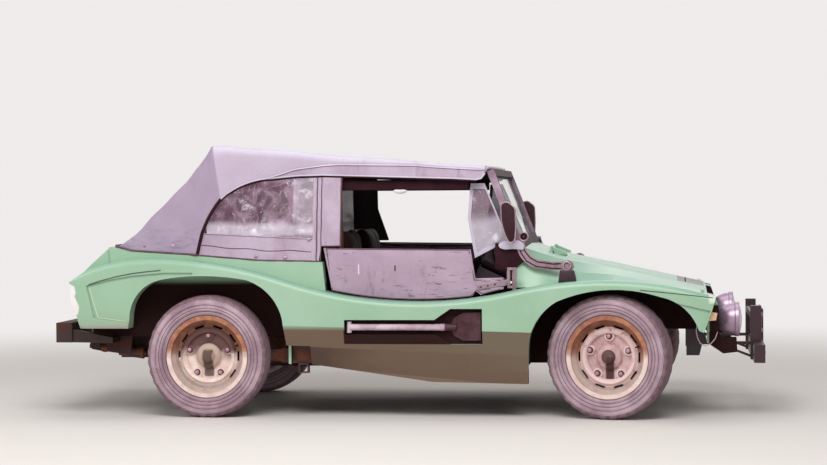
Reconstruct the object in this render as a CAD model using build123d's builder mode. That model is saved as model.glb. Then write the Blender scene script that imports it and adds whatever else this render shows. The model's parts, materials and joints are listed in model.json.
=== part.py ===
from build123d import *
import os
from math import cos, radians, sin, sqrt

# An open beach buggy: a moulded body with a fabric top and half doors, on the floor pan, front
# axle and rear engine of a small saloon. Millimetres. +X points to the front, +Y to the car's
# left and +Z up. The origin is on the ground, at the middle of the overall length and width.

# Overall layout
wheelbase = 2040
rear_axle_x = -1000
front_axle_x = rear_axle_x + wheelbase
overall_half = 1792        # half the length over the bumpers
body_half = 790            # half the width over the wings
arch_depth = 100           # depth of the side mouldings over the wheel arches
side_box = 150             # depth of their box section between the wheels
side_inner = body_half - arch_depth
cabin_half = body_half - side_box
wall = 14                  # thickness of the moulded panels
lid_gap = 6                # shut line round a lid
swing_gap = 8              # clearance round a door
seat_gap = 0.3             # between soft pieces that lie together

# Wheels and axles
tyre_radius = 308
tyre_half = 82             # half the width of a tyre
axle_height = tyre_radius
rear_half_track = 675
front_half_track = 668
kingpin_inset = 84         # from the middle of a front tyre to its steering axis
kingpin_y = front_half_track - kingpin_inset
rest_steer = 12            # the front wheels stand turned this many degrees to the right
flange_radius = 207
bead_radius = 190
well_radius = 172
rim_half = 65
rim_sheet = 6
slot_radius = 152          # the openings round the edge of the wheel disc
slot_length, slot_width = 52, 11
slot_count = 10
bolt_radius = 102.5
bolt_count = 5
disc_bore = 112            # radius of the wheel disc's open middle, between the bolts
drum_radius = 122
drum_depth = 46
drum_face = 6              # the drums' outer faces, from the middle of the wheel
shaft_radius = 20
plate_radius = 108         # brake back plates
running_fit = 0.05
kingpin_radius = 15
tread_half = 66

# Belt line: the rounded shoulder along each side (x, z), level at its crests and its dip
belt_tail = (-1606, 748)
belt_rear_crest = (-1290, 803)
belt_dip = (80, 584)
belt_front_crest = (1000, 688)
belt_nose = (1542, 608)
shoulder_radius = 30

# Side view of the body (x, z)
tail_top = (-1507, 862)
tail_knee = (-1610, 770)
tail_tip = (-1697, 686)
tail_low = (-1652, 490)
tail_foot = (-1638, 452)
coaming = [tail_top, (-1402, 836), (-1045, 815), (-727, 789), (-412, 782)]
sill_rear = (-469, 268)
sill_mid = (140, 181)
sill_front = (618, 172)
nose_low = (1483, 434)
floor_z = 256
floor_thickness = 10
floor_top = floor_z + floor_thickness
scuttle_x = 600
deck_front = 1500

# Wheel arches (x from the axle, z), through which arcs pass in threes
rear_arch = [(396, 496), (336, 616), (210, 696), (6, 716), (-225, 697), (-340, 630), (-388, 500)]
front_arch = [(419, 443), (355, 545), (231, 609), (-12, 644), (-277, 585), (-375, 487), (-416, 349)]
arch_gap = 33              # from a straight rear tyre to the inner wall of its arch
rear_well = rear_half_track - tyre_half - arch_gap
front_well = kingpin_y - 184

# Spade recess in the right-hand and left-hand sides (x, z)
spade_recess = [(-291, 496), (160, 496), (240, 551), (398, 551), (398, 373), (240, 373), (165, 421),
                (-291, 421)]
spade_recess_depth = 42
ledge_depth = 10

# Tail lamps, let into the rear corners: their edge against the body (x, z)
lamp_outline = [(-1694, 679), (-1669, 668), (-1661, 632), (-1668, 616), (-1644, 564), (-1650, 524), (-1669, 518)]
lamp_depth = 75

# Lids
lid_rear, lid_front, lid_half = 720, 1400, 300
engine_lid_top, engine_lid_foot, engine_lid_half = 676, 500, 420
bonnet_hinge = (712, 838)
hinge_half = 28            # half the length of a hinge barrel
pin_radius = 5
barrel_radius = 9

# Fabric top: its roof falls evenly from the peak at the rear bow to the windscreen
hood_wall = 10
hood_peak = (-1000, 1380)
hood_front = (404, 1262)
hood_half_low = body_half - 78    # half the width at the body, below the peak
hood_lean = 0.145          # how far the sides lean in for each unit of height
hood_round = 42            # rounding of the roof's side edges
bow_radius = 12
hoop_radius = 17
hoop_x = -340
seam = [(-1050, 826), (-1031, 921), (-986, 1027), (-923, 1115), (-834, 1168), (-732, 1199)]
seam_front = [(-541, 1216), (-414, 1219), (250, 1196), (hood_front[0] + 1, 1160)]
curtain_front = -320
window_inset = 24
window_front = -463

# Windscreen
screen_base = (568, 868)
screen_top = (425, 1238)
screen_half_low, screen_half_high = 620, 585
screen_bar = 36
glass_thickness = 5

# Doors
door_plane = hood_half_low - 28
door_thickness = 16
door_top_rear, door_top_front = (-407, 852), (335, 842)
door_step = (358, 698)     # the door's front edge stands back above this corner
door_nose = (500, 646)
door_hinge = (524, door_plane + 18)   # x, and distance to the right of the middle
hinge_low, hinge_high = 664, 738

# Front axle beam: two tubes across the frame head
beam_x = front_axle_x + 125
beam_radius = 30
beam_low, beam_top = 235, 385

# Tunnel along the floor pan (y, z)
tunnel_section = [(-95, floor_z), (-80, 350), (-40, 375), (40, 375), (80, 350), (95, floor_z)]


def fall(run, drop, x):
    """How far an arc that starts level and falls by drop over run has fallen at x."""
    radius = (run**2 + drop**2) / (2 * abs(drop))
    return (radius - sqrt(radius**2 - x**2)) * (1 if drop > 0 else -1)


def belt_height(x):
    """Height of the belt line at x, made of arcs that meet midway between its crests and dip."""
    levels = [belt_rear_crest, belt_dip, belt_front_crest]
    if x <= levels[0][0]:
        return levels[0][1] - fall(levels[0][0] - belt_tail[0], levels[0][1] - belt_tail[1], levels[0][0] - x)
    for near, far in zip(levels, levels[1:]):
        if x <= far[0]:
            run = (far[0] - near[0]) / 2
            drop = (near[1] - far[1]) / 2
            if x <= near[0] + run:
                return near[1] - fall(run, drop, x - near[0])
            return far[1] + fall(run, drop, far[0] - x)
    return levels[2][1] - fall(belt_nose[0] - levels[2][0], levels[2][1] - belt_nose[1], x - levels[2][0])


belt_joints = [
    belt_tail[0],
    belt_rear_crest[0],
    (belt_rear_crest[0] + belt_dip[0]) / 2,
    belt_dip[0],
    (belt_dip[0] + belt_front_crest[0]) / 2,
    belt_front_crest[0],
    belt_nose[0],
]


def belt_arcs(first, last, lift=0):
    """The arcs of the belt line from x = first to x = last, drawn into the open BuildLine."""
    stations = [first] + [x for x in belt_joints if first < x < last] + [last]
    for low, high in zip(stations, stations[1:]):
        ThreePointArc(*[(x, belt_height(x) + lift) for x in (low, (low + high) / 2, high)])


def arcs_through(points):
    """Arcs that pass through the points in threes, each starting where the last one ends."""
    for start, middle, end in zip(points[::2], points[1::2], points[2::2]):
        ThreePointArc(start, middle, end)


def parallel(points, distance):
    """The corners of a bent line moved sideways by distance, to the left of its direction."""
    runs = [(Vector(*b) - Vector(*a)).normalized() for a, b in zip(points, points[1:])]
    moved = []
    for place, before, after in zip(points, runs[:1] + runs, runs + runs[-1:]):
        bisector = Vector(-before.Y - after.Y, before.X + after.X).normalized()
        reach = distance / (bisector.Y * after.X - bisector.X * after.Y)
        moved.append((place[0] + bisector.X * reach, place[1] + bisector.Y * reach))
    return moved


def block(x, y, z, mode=Mode.ADD):
    """A box between low and high limits along each axis."""
    with Locations(((x[0] + x[1]) / 2, (y[0] + y[1]) / 2, (z[0] + z[1]) / 2)):
        Box(x[1] - x[0], y[1] - y[0], z[1] - z[0], mode=mode)


def span(side, near, far):
    """Low and high y of a piece between two distances from the middle, on one side."""
    return sorted((side * near, side * far))


def outline(plane, points):
    """A closed outline with straight edges on a plane."""
    with BuildSketch(plane) as shape:
        with BuildLine():
            Polyline(*points, close=True)
        make_face()
    return shape.sketch


def side_slice(points, y_near, y_far, mode=Mode.ADD):
    """A side-view outline (x, z) made solid between two distances to the right of the middle."""
    extrude(outline(Plane.XZ.offset(y_near), points), amount=y_far - y_near, mode=mode)


def cross_slice(points, x_rear, x_front, mode=Mode.ADD):
    """A front-view outline (y, z) made solid between two stations."""
    extrude(outline(Plane.YZ.offset(x_rear), points), amount=x_front - x_rear, mode=mode)


def rod(start, end, radius, mode=Mode.ADD):
    """A round bar from one point to another."""
    axis = Vector(*end) - Vector(*start)
    with BuildSketch(Plane(origin=start, z_dir=axis)) as section:
        Circle(radius)
    extrude(section.sketch, amount=axis.length, mode=mode)


def save(name, part):
    part.label = name
    export_step(part, f"parts/{name}.step")


def save_pair(stem, right):
    """A piece of the right-hand side and its mirror image on the left, each its own node."""
    with BuildPart() as left:
        mirror(right, about=Plane.XZ)
    save(f"{stem}_right", right)
    save(f"{stem}_left", left.part)


def save_both(name, *rights):
    """Pieces of the right-hand side with their mirror images, in one node."""
    with BuildPart() as both:
        for right in rights:
            add(right)
            mirror(right, about=Plane.XZ)
    save(name, both.part)


# Body sides: one moulding on each side, from the tail to the nose, over both wheels
def body_side():
    arch_rear = [(rear_axle_x + x, z) for x, z in rear_arch]
    arch_front = [(front_axle_x + x, z) for x, z in front_arch]
    with BuildPart() as side:
        with BuildSketch(Plane.XZ.offset(side_inner)):
            with BuildLine():
                belt_arcs(belt_tail[0], belt_nose[0])
                Polyline(belt_nose, (1522, 541), nose_low, arch_front[0])
                arcs_through(arch_front)
                Polyline(arch_front[-1], sill_front, sill_mid, sill_rear, (-469, 362), (-590, 366), arch_rear[0])
                arcs_through(arch_rear)
                Polyline(arch_rear[-1], (arch_rear[-1][0] - 4, tail_foot[1]), tail_foot, tail_low, tail_tip,
                         belt_tail)
            make_face()
        extrude(amount=arch_depth)
        outer_edges = side.faces().sort_by(Axis.Y)[0].edges().filter_by(GeomType.CIRCLE)
        fillet([edge for edge in outer_edges if edge.center().Z > belt_height(edge.center().X) - 20],
               radius=min(shoulder_radius, 0.9 * arch_depth))
        # box section between the arches, in to the cabin
        with BuildSketch(Plane.XZ.offset(cabin_half)):
            with BuildLine():
                belt_arcs(sill_rear[0], sill_front[0])
                Polyline((sill_front[0], belt_height(sill_front[0])), sill_front, sill_mid, sill_rear,
                         (sill_rear[0], belt_height(sill_rear[0])))
            make_face()
        extrude(amount=side_inner - cabin_half)
        # the lower side tucks in at two creases
        faces = []
        for x, crease, second, foot in ((-640, 469, 366, 270), (640, 434, 313, 160)):
            faces.append(outline(Plane.YZ.offset(x), [
                (-body_half - 1, crease), (-body_half, crease), (-body_half + 40, second), (-body_half + 92, foot),
                (-body_half + 92, 100), (-body_half - 1, 100),
            ]))
        loft(faces, ruled=True, mode=Mode.SUBTRACT)
        side_slice(spade_recess, body_half - spade_recess_depth, body_half + 1, mode=Mode.SUBTRACT)
        # shallow steps below the ledges of the wings
        side_slice([(-1608, 669), (-1490, 698), (-1370, 719), (-1207, 733), (-1060, 733), (-1060, 690), (-1380, 480),
                    (-1431, 486), (-1571, 506)], body_half - ledge_depth, body_half + 1, mode=Mode.SUBTRACT)
        side_slice([(1060, 645), (1515, 541), (1474, 443), (1400, 443), (1060, 600)],
                   body_half - ledge_depth, body_half + 1, mode=Mode.SUBTRACT)
        side_slice([(-1720, 679)] + lamp_outline + [(-1720, 518)], body_half - lamp_depth, body_half + 1,
                   mode=Mode.SUBTRACT)
    return side.part


# Rear body: coamings, tail, inner arches, parcel floor and the bulkhead behind the seats
parcel_floor = (730, 744)
bulkhead_x = -560


def rear_body():
    coaming_end = coaming[-1][0] + 16
    with BuildPart() as body:
        side_slice(coaming + [(coaming_end, belt_height(coaming_end)), (sill_rear[0], belt_height(sill_rear[0])),
                              (sill_rear[0], 612), (-590, 612), (-700, 700), (-1200, 744), (-1560, 700),
                              (tail_tip[0] + 40, 700), (tail_knee[0] + 8, tail_knee[1] - 4)],
                   cabin_half, side_inner)
        # the coaming reaches out over the body side, to carry the foot of the top
        with BuildSketch(Plane.XZ.offset(side_inner)):
            with BuildLine():
                belt_arcs(-1500, coaming_end)
                Polyline((coaming_end, belt_height(coaming_end)), *reversed(coaming), (-1500, belt_height(-1500)))
            make_face()
        extrude(amount=hood_half_low - side_inner)
        tail_line = [tail_top, tail_knee, tail_tip, tail_low, tail_foot]
        side_slice(tail_line + [(x + wall, z - 6) for x, z in reversed(tail_line)], 0, side_inner)
        block((-1610, -884), (-side_inner, 0), parcel_floor)
        block((-1640, bulkhead_x), (-rear_well - wall, -rear_well), (400, parcel_floor[1]))
        block((-1420, -1420 + wall), (-side_inner, -rear_well), (tail_foot[1], parcel_floor[1]))
        block((bulkhead_x - 30, bulkhead_x - 30 + wall), (-side_inner, -rear_well), (268, 700))
        side_slice([(bulkhead_x - wall, floor_top), (bulkhead_x - wall, 372), (-700, 470), (-900, 744),
                    (-884, 744), (-686, 476), (bulkhead_x, 380), (bulkhead_x, floor_top)], 0, rear_well)
        cross_slice(tunnel_section, -640, -500, mode=Mode.SUBTRACT)
        side_slice(engine_lid_outline(lid_gap, 30), 0, engine_lid_half + lid_gap, mode=Mode.SUBTRACT)
        mirror(about=Plane.XZ)
        for y in (-260, 260):
            rod(engine_hinge_at(y - 40), engine_hinge_at(y + 40), pin_radius)
            for edge in (y - 36, y + 36):
                side_slice([(tail_face(686), 686), (tail_face(686) - 20, 690), (tail_face(674) - 14, 676),
                            (tail_face(684) + 6, 684)], -edge - 4, -edge + 4)
    return body.part


def tail_face(z):
    """x of the upright rear face at height z."""
    return tail_tip[0] + (tail_tip[1] - z) / (tail_tip[1] - tail_low[1]) * (tail_low[0] - tail_tip[0])


def engine_lid_outline(grow, depth):
    """Side view of the lid in the rear face, grown by the shut line."""
    top, foot = engine_lid_top + grow, engine_lid_foot - grow
    proud = 3 * (depth > wall)
    return [(tail_face(top) - proud, top), (tail_face(foot) - proud, foot),
            (tail_face(foot) + depth, foot), (tail_face(top) + depth, top)]


def engine_hinge_at(y):
    return tail_face(engine_lid_top) - 12, y, engine_lid_top + 6


def engine_lid():
    with BuildPart() as lid:
        side_slice(engine_lid_outline(0, wall), -engine_lid_half, engine_lid_half)
        # louvres: rows of pressed slots in the lid
        for z in range(530, 640, 22):
            for y in (-270, 0, 270):
                side_slice([(tail_face(z + 14), z + 14), (tail_face(z) - 8, z + 3), (tail_face(z), z)],
                           -y - 90, -y + 90)
        for y in (-260, 260):
            rod(engine_hinge_at(y - hinge_half), engine_hinge_at(y + hinge_half), barrel_radius)
            side_slice([(tail_face(670), 670), (tail_face(640), 640), (tail_face(640) - 6, 640),
                        (tail_face(676) - 18, 676)], -y - hinge_half, -y + hinge_half)
            rod(engine_hinge_at(y - hinge_half - 1), engine_hinge_at(y + hinge_half + 1),
                pin_radius + running_fit, mode=Mode.SUBTRACT)
    return lid.part


# Front deck: x, then (y, z) at the crown, shoulder, hip and edge
deck_stations = [
    (560, (0, 868), (600, 860), (650, 800), (side_inner, 632)),
    (760, (0, 812), (470, 790), (610, 730), (side_inner, 662)),
    (front_axle_x, (0, 754), (400, 738), (590, 712), (side_inner, 686)),
    (deck_front, (0, 648), (400, 638), (590, 628), (side_inner, 616)),
]
deck_base = 440


def deck_form(drop, mode):
    """The right half of the deck's form as a solid block, with its surface lowered by drop."""
    for near, far in zip(deck_stations, deck_stations[1:]):
        faces = []
        for x, *points in (near, far):
            surface = [(-y, z - drop) for y, z in points]
            faces.append(outline(Plane.YZ.offset(x), surface + [(surface[-1][0], deck_base), (0, deck_base)]))
        loft(faces, ruled=True, mode=mode)


def deck_block():
    """The whole form under the deck's surface, to trim what stands on it."""
    with BuildPart() as form:
        deck_form(0, Mode.ADD)
        mirror(about=Plane.XZ)
    return form.part


def front_deck():
    with BuildPart() as deck:
        deck_form(0, Mode.ADD)
        deck_form(wall, Mode.SUBTRACT)
        mirror(about=Plane.XZ)
    return deck.part


def front_body(deck):
    arch_top = 430
    with BuildPart() as body:
        add(deck)
        block((lid_rear, lid_front), (-lid_half, lid_half), (600, 900), mode=Mode.SUBTRACT)
        for side in (-1, 1):
            near, far = span(side, front_well, front_well + wall)
            side_slice([(scuttle_x, floor_z), (beam_x - 25, floor_z), (beam_x + 50, arch_top), (1486, arch_top),
                        (1486, 630), (scuttle_x, 630)], -far, -near)
            block((scuttle_x, scuttle_x + wall), span(side, front_well, cabin_half), (floor_z, 700))
            block((500, sill_front[0]), span(side, cabin_half, side_inner + 1), (100, 652), mode=Mode.SUBTRACT)
        block((1472, 1486), (-side_inner, side_inner), (434, 640))
        block((scuttle_x, scuttle_x + wall), (-front_well, front_well), (floor_top, 810))
        block((scuttle_x, 1486), (-front_well, front_well), (arch_top, arch_top + 10))
        cross_slice(tunnel_section, 590, beam_x + 35, mode=Mode.SUBTRACT)
        for z in (beam_low, beam_top):
            rod((beam_x, -side_inner, z), (beam_x, side_inner, z), beam_radius, mode=Mode.SUBTRACT)
        for y in (-200, 200):
            rod((bonnet_hinge[0], y - 40, bonnet_hinge[1]), (bonnet_hinge[0], y + 40, bonnet_hinge[1]), pin_radius)
            for edge in (y - 36, y + 36):
                block((bonnet_hinge[0] - 8, bonnet_hinge[0] + 5), (edge - 4, edge + 4), (806, bonnet_hinge[1] + 6))
    return body.part


def bonnet_lid(deck):
    with BuildPart() as lid:
        add(deck)
        block((lid_rear + lid_gap, lid_front - lid_gap), (-lid_half + lid_gap, lid_half - lid_gap),
              (600, 900), mode=Mode.INTERSECT)
        for y in (-200, 200):
            start = (bonnet_hinge[0], y - hinge_half, bonnet_hinge[1])
            end = (bonnet_hinge[0], y + hinge_half, bonnet_hinge[1])
            rod(start, end, barrel_radius)
            side_slice([(bonnet_hinge[0], 844), (790, 812), (790, 800), (730, 806), (bonnet_hinge[0], 834)],
                       -y - hinge_half, -y + hinge_half)
            rod(start, end, pin_radius + running_fit, mode=Mode.SUBTRACT)
    return lid.part


def floor_pan():
    with BuildPart() as pan:
        block((bulkhead_x - 40, scuttle_x), (-cabin_half, cabin_half), (floor_z, floor_top))
        block((scuttle_x, beam_x - beam_radius), (-front_well, front_well), (floor_z, floor_top))
        cross_slice(tunnel_section, bulkhead_x - 40, beam_x - beam_radius)
    return pan.part


# Fabric top
def roof_height(x):
    """Height of the top's outer surface along its middle, in front of the peak."""
    return hood_peak[1] + (x - hood_peak[0]) * (hood_front[1] - hood_peak[1]) / (hood_front[0] - hood_peak[0])


def hood_half(x, z):
    """Half the width over the top's sides at a station and height."""
    at_roof = hood_half_low - hood_lean * (hood_peak[1] - coaming[2][1])
    return at_roof + hood_lean * (roof_height(x) - z)


def hood_form(inset):
    """The raised top as a solid block, moved in by inset on every face but the open front."""
    base = coaming[-1][1] - 40
    reach = 40 if inset else 0
    rear = parallel([(tail_top[0], base), tail_top, hood_peak, hood_front], -inset)
    end_x = hood_front[0] + reach
    front_x = hood_front[0] + 60
    side_points = [(rear[0][0], base - inset), rear[1], rear[2], (end_x, roof_height(end_x) - inset),
                   (end_x, base - inset)]
    along = (Vector(*hood_peak) - Vector(*hood_front)).normalized()
    with BuildPart() as form:
        # the cross-section, drawn just ahead of the front and run back along the slope of the roof
        with BuildSketch(Plane.YZ.offset(front_x)) as section:
            with BuildLine():
                top, foot = roof_height(front_x) - inset, 500
                half_top, half_foot = hood_half(front_x, top) - inset, hood_half(front_x, foot) - inset
                Polyline((-half_foot, foot), (-half_top, top), (half_top, top), (half_foot, foot), close=True)
            make_face()
            fillet(section.vertices().sort_by(Axis.Y)[-2:], hood_round - inset)
        extrude(section.sketch, amount=2200, dir=(along.X, 0, along.Y))
        extrude(outline(Plane.XZ, side_points), amount=900, both=True, mode=Mode.INTERSECT)
        # the rear corners are drawn in, each in one plane from the seam and the peak to the tail
        for side in (-1, 1):
            peak = Vector(hood_peak[0], side * (hood_half(*hood_peak) - 14), hood_peak[1])
            knee = Vector(seam[0][0], side * hood_half(*seam[0]), seam[0][1])
            tail = Vector(tail_top[0], side * 612, tail_top[1])
            normal = (tail - peak).cross(knee - peak).normalized()
            if normal.Y * side < 0:
                normal = -normal
            split(bisect_by=Plane(origin=peak - normal * inset, z_dir=normal), keep=Keep.BOTTOM)
    return form.part


def seam_space(inset, mode):
    """The space under the side seam of the top on the right, moved in from the seam by inset."""
    line = parallel(seam + seam_front, -inset)
    curved, straight = line[1:len(seam)], line[len(seam) - 1:]
    with BuildSketch(Plane.XZ.offset(560)) as space:
        with BuildLine():
            Polyline(line[0], line[1])
            arcs_through(curved)
            Polyline(*straight, (straight[-1][0], 500), (line[0][0], 500), line[0])
        make_face()
    extrude(space.sketch, amount=240, mode=mode)


def hood_shell(outer, inner):
    """The cloth of the top and its side curtains in one, down to the coaming."""
    below = [(x, z) for x, z in coaming] + [(500, coaming[-1][1]), (500, 700), (-1600, 700), (-1600, tail_top[1])]
    with BuildPart() as shell:
        add(outer)
        add(inner, mode=Mode.SUBTRACT)
        side_slice(below, -800, 800, mode=Mode.SUBTRACT)
    return shell.part


def hood(shell):
    with BuildPart() as space:
        seam_space(0, Mode.ADD)
        mirror(about=Plane.XZ)
    with BuildPart() as fabric:
        add(shell)
        add(space.part, mode=Mode.SUBTRACT)
    return fabric.part


def window_space():
    """The space of the clear window in the right-hand side curtain."""
    with BuildPart() as space:
        seam_space(window_inset, Mode.ADD)
        block((window_front, 600), (-810, -550), (400, 1400), mode=Mode.SUBTRACT)
        side_slice([(-1100, 400), (-1100, 934), (window_front, 901), (window_front, 400)], 550, 810,
                   mode=Mode.SUBTRACT)
    return space.part


def side_curtain(shell, window):
    flap_foot = door_top_rear[1] + swing_gap + 2
    with BuildPart() as curtain:
        add(shell)
        seam_space(0, Mode.INTERSECT)
        block((curtain_front, 600), (-800, 0), (400, 1400), mode=Mode.SUBTRACT)
        block((coaming[-1][0] - swing_gap, 600), (-800, 0), (400, flap_foot), mode=Mode.SUBTRACT)
        add(window, mode=Mode.SUBTRACT)
    return curtain.part


def curtain_pane(shell, window):
    with BuildPart() as pane:
        add(shell)
        add(window, mode=Mode.INTERSECT)
    return pane.part


# Windscreen: local x runs to the left, local y up along the rake, local z out to the front
screen_run = screen_top[0] - screen_base[0]
screen_rise = screen_top[1] - screen_base[1]
screen_length = sqrt(screen_run**2 + screen_rise**2)
screen_lean = (screen_half_low - screen_half_high) / screen_rise
screen_plane = Plane(
    origin=(screen_base[0], 0, screen_base[1]),
    x_dir=(0, 1, 0),
    z_dir=(screen_rise, 0, -screen_run),
)


def screen_x(z, back=0):
    """x at height z on the windscreen's plane, or on a face that lies behind it."""
    return screen_base[0] + ((z - screen_base[1]) * screen_run - back * screen_length) / screen_rise


def screen_outline(inset):
    low, high = screen_half_low - inset, screen_half_high - inset
    return [(-low, inset), (low, inset), (high, screen_length - inset), (-high, screen_length - inset)]


def windscreen_frame(form):
    with BuildPart() as frame:
        extrude(outline(screen_plane, screen_outline(0)), amount=screen_bar / 2, both=True)
        extrude(outline(screen_plane, screen_outline(screen_bar)), amount=screen_bar, both=True, mode=Mode.SUBTRACT)
        side_slice([(562, 820), (604, 820), (590, 878), (562, 878)], -600, 600)
        add(form, mode=Mode.SUBTRACT)
    return frame.part


def windscreen_glass():
    with BuildPart() as glass:
        extrude(outline(screen_plane, screen_outline(screen_bar)), amount=glass_thickness / 2, both=True)
    return glass.part


# Small curtains between the windscreen pillars and the doors, in the leaning plane of the pillars
quarter_plane = Plane(
    origin=(0, -screen_half_low + screen_bar / 2, screen_base[1]),
    x_dir=(1, 0, 0),
    z_dir=(0, -1, screen_lean),
)
quarter_wall = 8


def quarter_outline(inset):
    """Outline of the quarter curtain, or of its clear pane, as (x, z)."""
    back = screen_bar / 2 + seat_gap + inset
    high, low = 1172 - inset, 885 + 1.6 * inset
    return [(325 + inset, high), (screen_x(high, back), high), (screen_x(low, back), low),
            (348 + inset, 797 + 2.2 * inset), (311 + inset, 1000)]


def quarter_slab(inset, mode):
    stretch = sqrt(1 + screen_lean**2)
    points = [(x, (z - screen_base[1]) * stretch) for x, z in quarter_outline(inset)]
    extrude(outline(quarter_plane, points), amount=quarter_wall / 2, both=True, mode=mode)


def quarter_curtain():
    with BuildPart() as curtain:
        quarter_slab(0, Mode.ADD)
        quarter_slab(26, Mode.SUBTRACT)
    return curtain.part


def quarter_pane():
    with BuildPart() as pane:
        quarter_slab(26, Mode.ADD)
    return pane.part


# Tube hoop behind the seats, with a left leg that leans forward at its foot, and the roof bows
def roof_frame():
    hoop_y = cabin_half - hoop_radius - 2
    hoop_top = 1185
    with BuildPart() as tube:
        for side, foot_x in ((-1, hoop_x + 10), (1, hoop_x + 155)):
            rod((hoop_x, side * hoop_y, hoop_top), (foot_x, side * hoop_y, 600), hoop_radius)
            with Locations((hoop_x, side * hoop_y, hoop_top)):
                Sphere(hoop_radius)
            block((foot_x - 30, foot_x + 30), span(side, hoop_y, cabin_half), (594, 640))
        rod((hoop_x, -hoop_y, hoop_top), (hoop_x, hoop_y, hoop_top), hoop_radius)
        depth = hood_wall + bow_radius + seat_gap
        peak_bow = parallel([tail_top, hood_peak, hood_front], -depth)[1]
        for x, z in (peak_bow, (-620, roof_height(-620) - 1.004 * depth), (-80, roof_height(-80) - 1.004 * depth)):
            rod((x, -596, z), (x, 596, z), bow_radius)
    return tube.part


# Doors: fabric half doors on a steel frame, each hung at its front on one strap hinge
def door():
    x, y = door_hinge
    rear_foot = door_top_rear[0] + 41
    with BuildPart() as leaf:
        with BuildSketch(Plane.XZ.offset(door_plane)):
            with BuildLine():
                belt_arcs(rear_foot, 380, swing_gap)
                Polyline((380, belt_height(380) + swing_gap), door_nose, (door_nose[0], door_step[1] + 4), door_step,
                         door_top_front, door_top_rear, (rear_foot, belt_height(rear_foot) + swing_gap))
            make_face()
        extrude(amount=door_thickness)
        side_slice([(x, 674), (x, 702), (362, 664), (362, 640)], door_plane + door_thickness,
                   door_plane + door_thickness + 5)
        rod((x, -y, hinge_low), (x, -y, hinge_high), barrel_radius)
        rod((x, -y, hinge_low - 1), (x, -y, hinge_high + 1), pin_radius + running_fit, mode=Mode.SUBTRACT)
    return leaf.part


def door_post():
    """Bracket on the scuttle's side that carries the door's hinge pin."""
    x, y = door_hinge
    with BuildPart() as post:
        side_slice([(540, belt_height(540) + seat_gap), (560, belt_height(560) + seat_gap), (560, hinge_high + 14),
                    (540, hinge_high + 14)], side_inner - 14, side_inner)
        rod((x, -y, hinge_low - 14), (x, -y, hinge_high + 14), pin_radius)
        for z in (hinge_low - 14, hinge_high + 2):
            block((x - 6, 545), (-y - 7, -side_inner + 14), (z, z + 12))
    return post.part


# Seats
def seat(y):
    with BuildPart() as frame:
        side_slice([(-300, floor_top), (180, floor_top), (180, 350), (194, 362), (194, 424), (178, 440), (-212, 440),
                    (-294, 900), (-322, 950), (-352, 962), (-380, 950), (-392, 900)], -y - 230, -y + 230)
    return frame.part


def rear_bench():
    with BuildPart() as bench:
        side_slice([(-559, 376), (-486, 376), (-480, 520), (-718, 520), (-686, 478), (-559, 382)], -540, 540)
        side_slice([(-718, 520), (-882, 742), (-800, 742), (-650, 520)], -540, 540)
        for side in (-1, 1):
            block((-559, -492), span(side, 100, 540), (floor_top, 376))
    return bench.part


def dashboard():
    with BuildPart() as dash:
        side_slice([(scuttle_x, 660), (scuttle_x, 815), (562, 840), (540, 700)], -570, 570)
    return dash.part


column_foot = (590, 330, 604)
column_top = (300, 330, 742)
spindle_radius = 9


def along_column(share):
    """A point past the top of the steering column, by a share of its length."""
    return tuple(a + (a - b) * share for a, b in zip(column_top, column_foot))


def steering_column():
    with BuildPart() as column:
        rod(column_foot, column_top, 22)
        rod(column_top, along_column(0.08), spindle_radius)
    return column.part


wheel_plane = Plane(
    origin=along_column(0.03),
    x_dir=(0, 1, 0),
    z_dir=Vector(*column_top) - Vector(*column_foot),
)
rim_rise = 20


def above_wheel(height, z_dir):
    """A plane on the steering wheel's axis, at a height over its foot."""
    return Plane(origin=wheel_plane.from_local_coords(Vector(0, 0, height)), x_dir=wheel_plane.x_dir, z_dir=z_dir)


def steering_wheel():
    with BuildPart() as wheel:
        with BuildSketch(above_wheel(12, wheel_plane.z_dir)):
            Circle(32)
            Circle(spindle_radius + running_fit, mode=Mode.SUBTRACT)
        extrude(amount=12, both=True)
        with BuildSketch(above_wheel(rim_rise, wheel_plane.y_dir)):
            with Locations((180, 0)):
                Circle(11)
        revolve(axis=Axis(wheel_plane.origin, wheel_plane.z_dir))
        for angle in (90, 210, 330):
            inner, outer = [
                tuple(wheel_plane.from_local_coords(Vector(r * cos(radians(angle)), r * sin(radians(angle)), h)))
                for r, h in ((26, 12), (178, rim_rise))
            ]
            rod(inner, outer, 7)
    return wheel.part


# Front axle: two tubes with side arms that carry the kingpins
def front_axle():
    tube_end = kingpin_y - 124
    with BuildPart() as axle:
        for z in (beam_low, beam_top):
            rod((beam_x, -tube_end, z), (beam_x, tube_end, z), beam_radius)
        for side in (-1, 1):
            for low, high in ((224, 250), (366, 392)):
                with BuildSketch(Plane.XY.offset(low)):
                    with BuildLine():
                        Polyline((beam_x + 26, side * (kingpin_y - 132)), (beam_x - 26, side * (kingpin_y - 154)),
                                 (front_axle_x - 18, side * (kingpin_y - 18)),
                                 (front_axle_x - 10, side * (kingpin_y + 20)),
                                 (front_axle_x + 16, side * (kingpin_y + 16)), close=True)
                    make_face()
                extrude(amount=high - low)
            with Locations((front_axle_x, side * kingpin_y, axle_height)):
                Cylinder(kingpin_radius, 176)
            block((beam_x - 34, beam_x + 34), span(side, kingpin_y - 168, kingpin_y - 156), (200, 429))
        block((beam_x - beam_radius, beam_x), (-60, 60), (beam_low, beam_top))
    return axle.part


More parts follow.
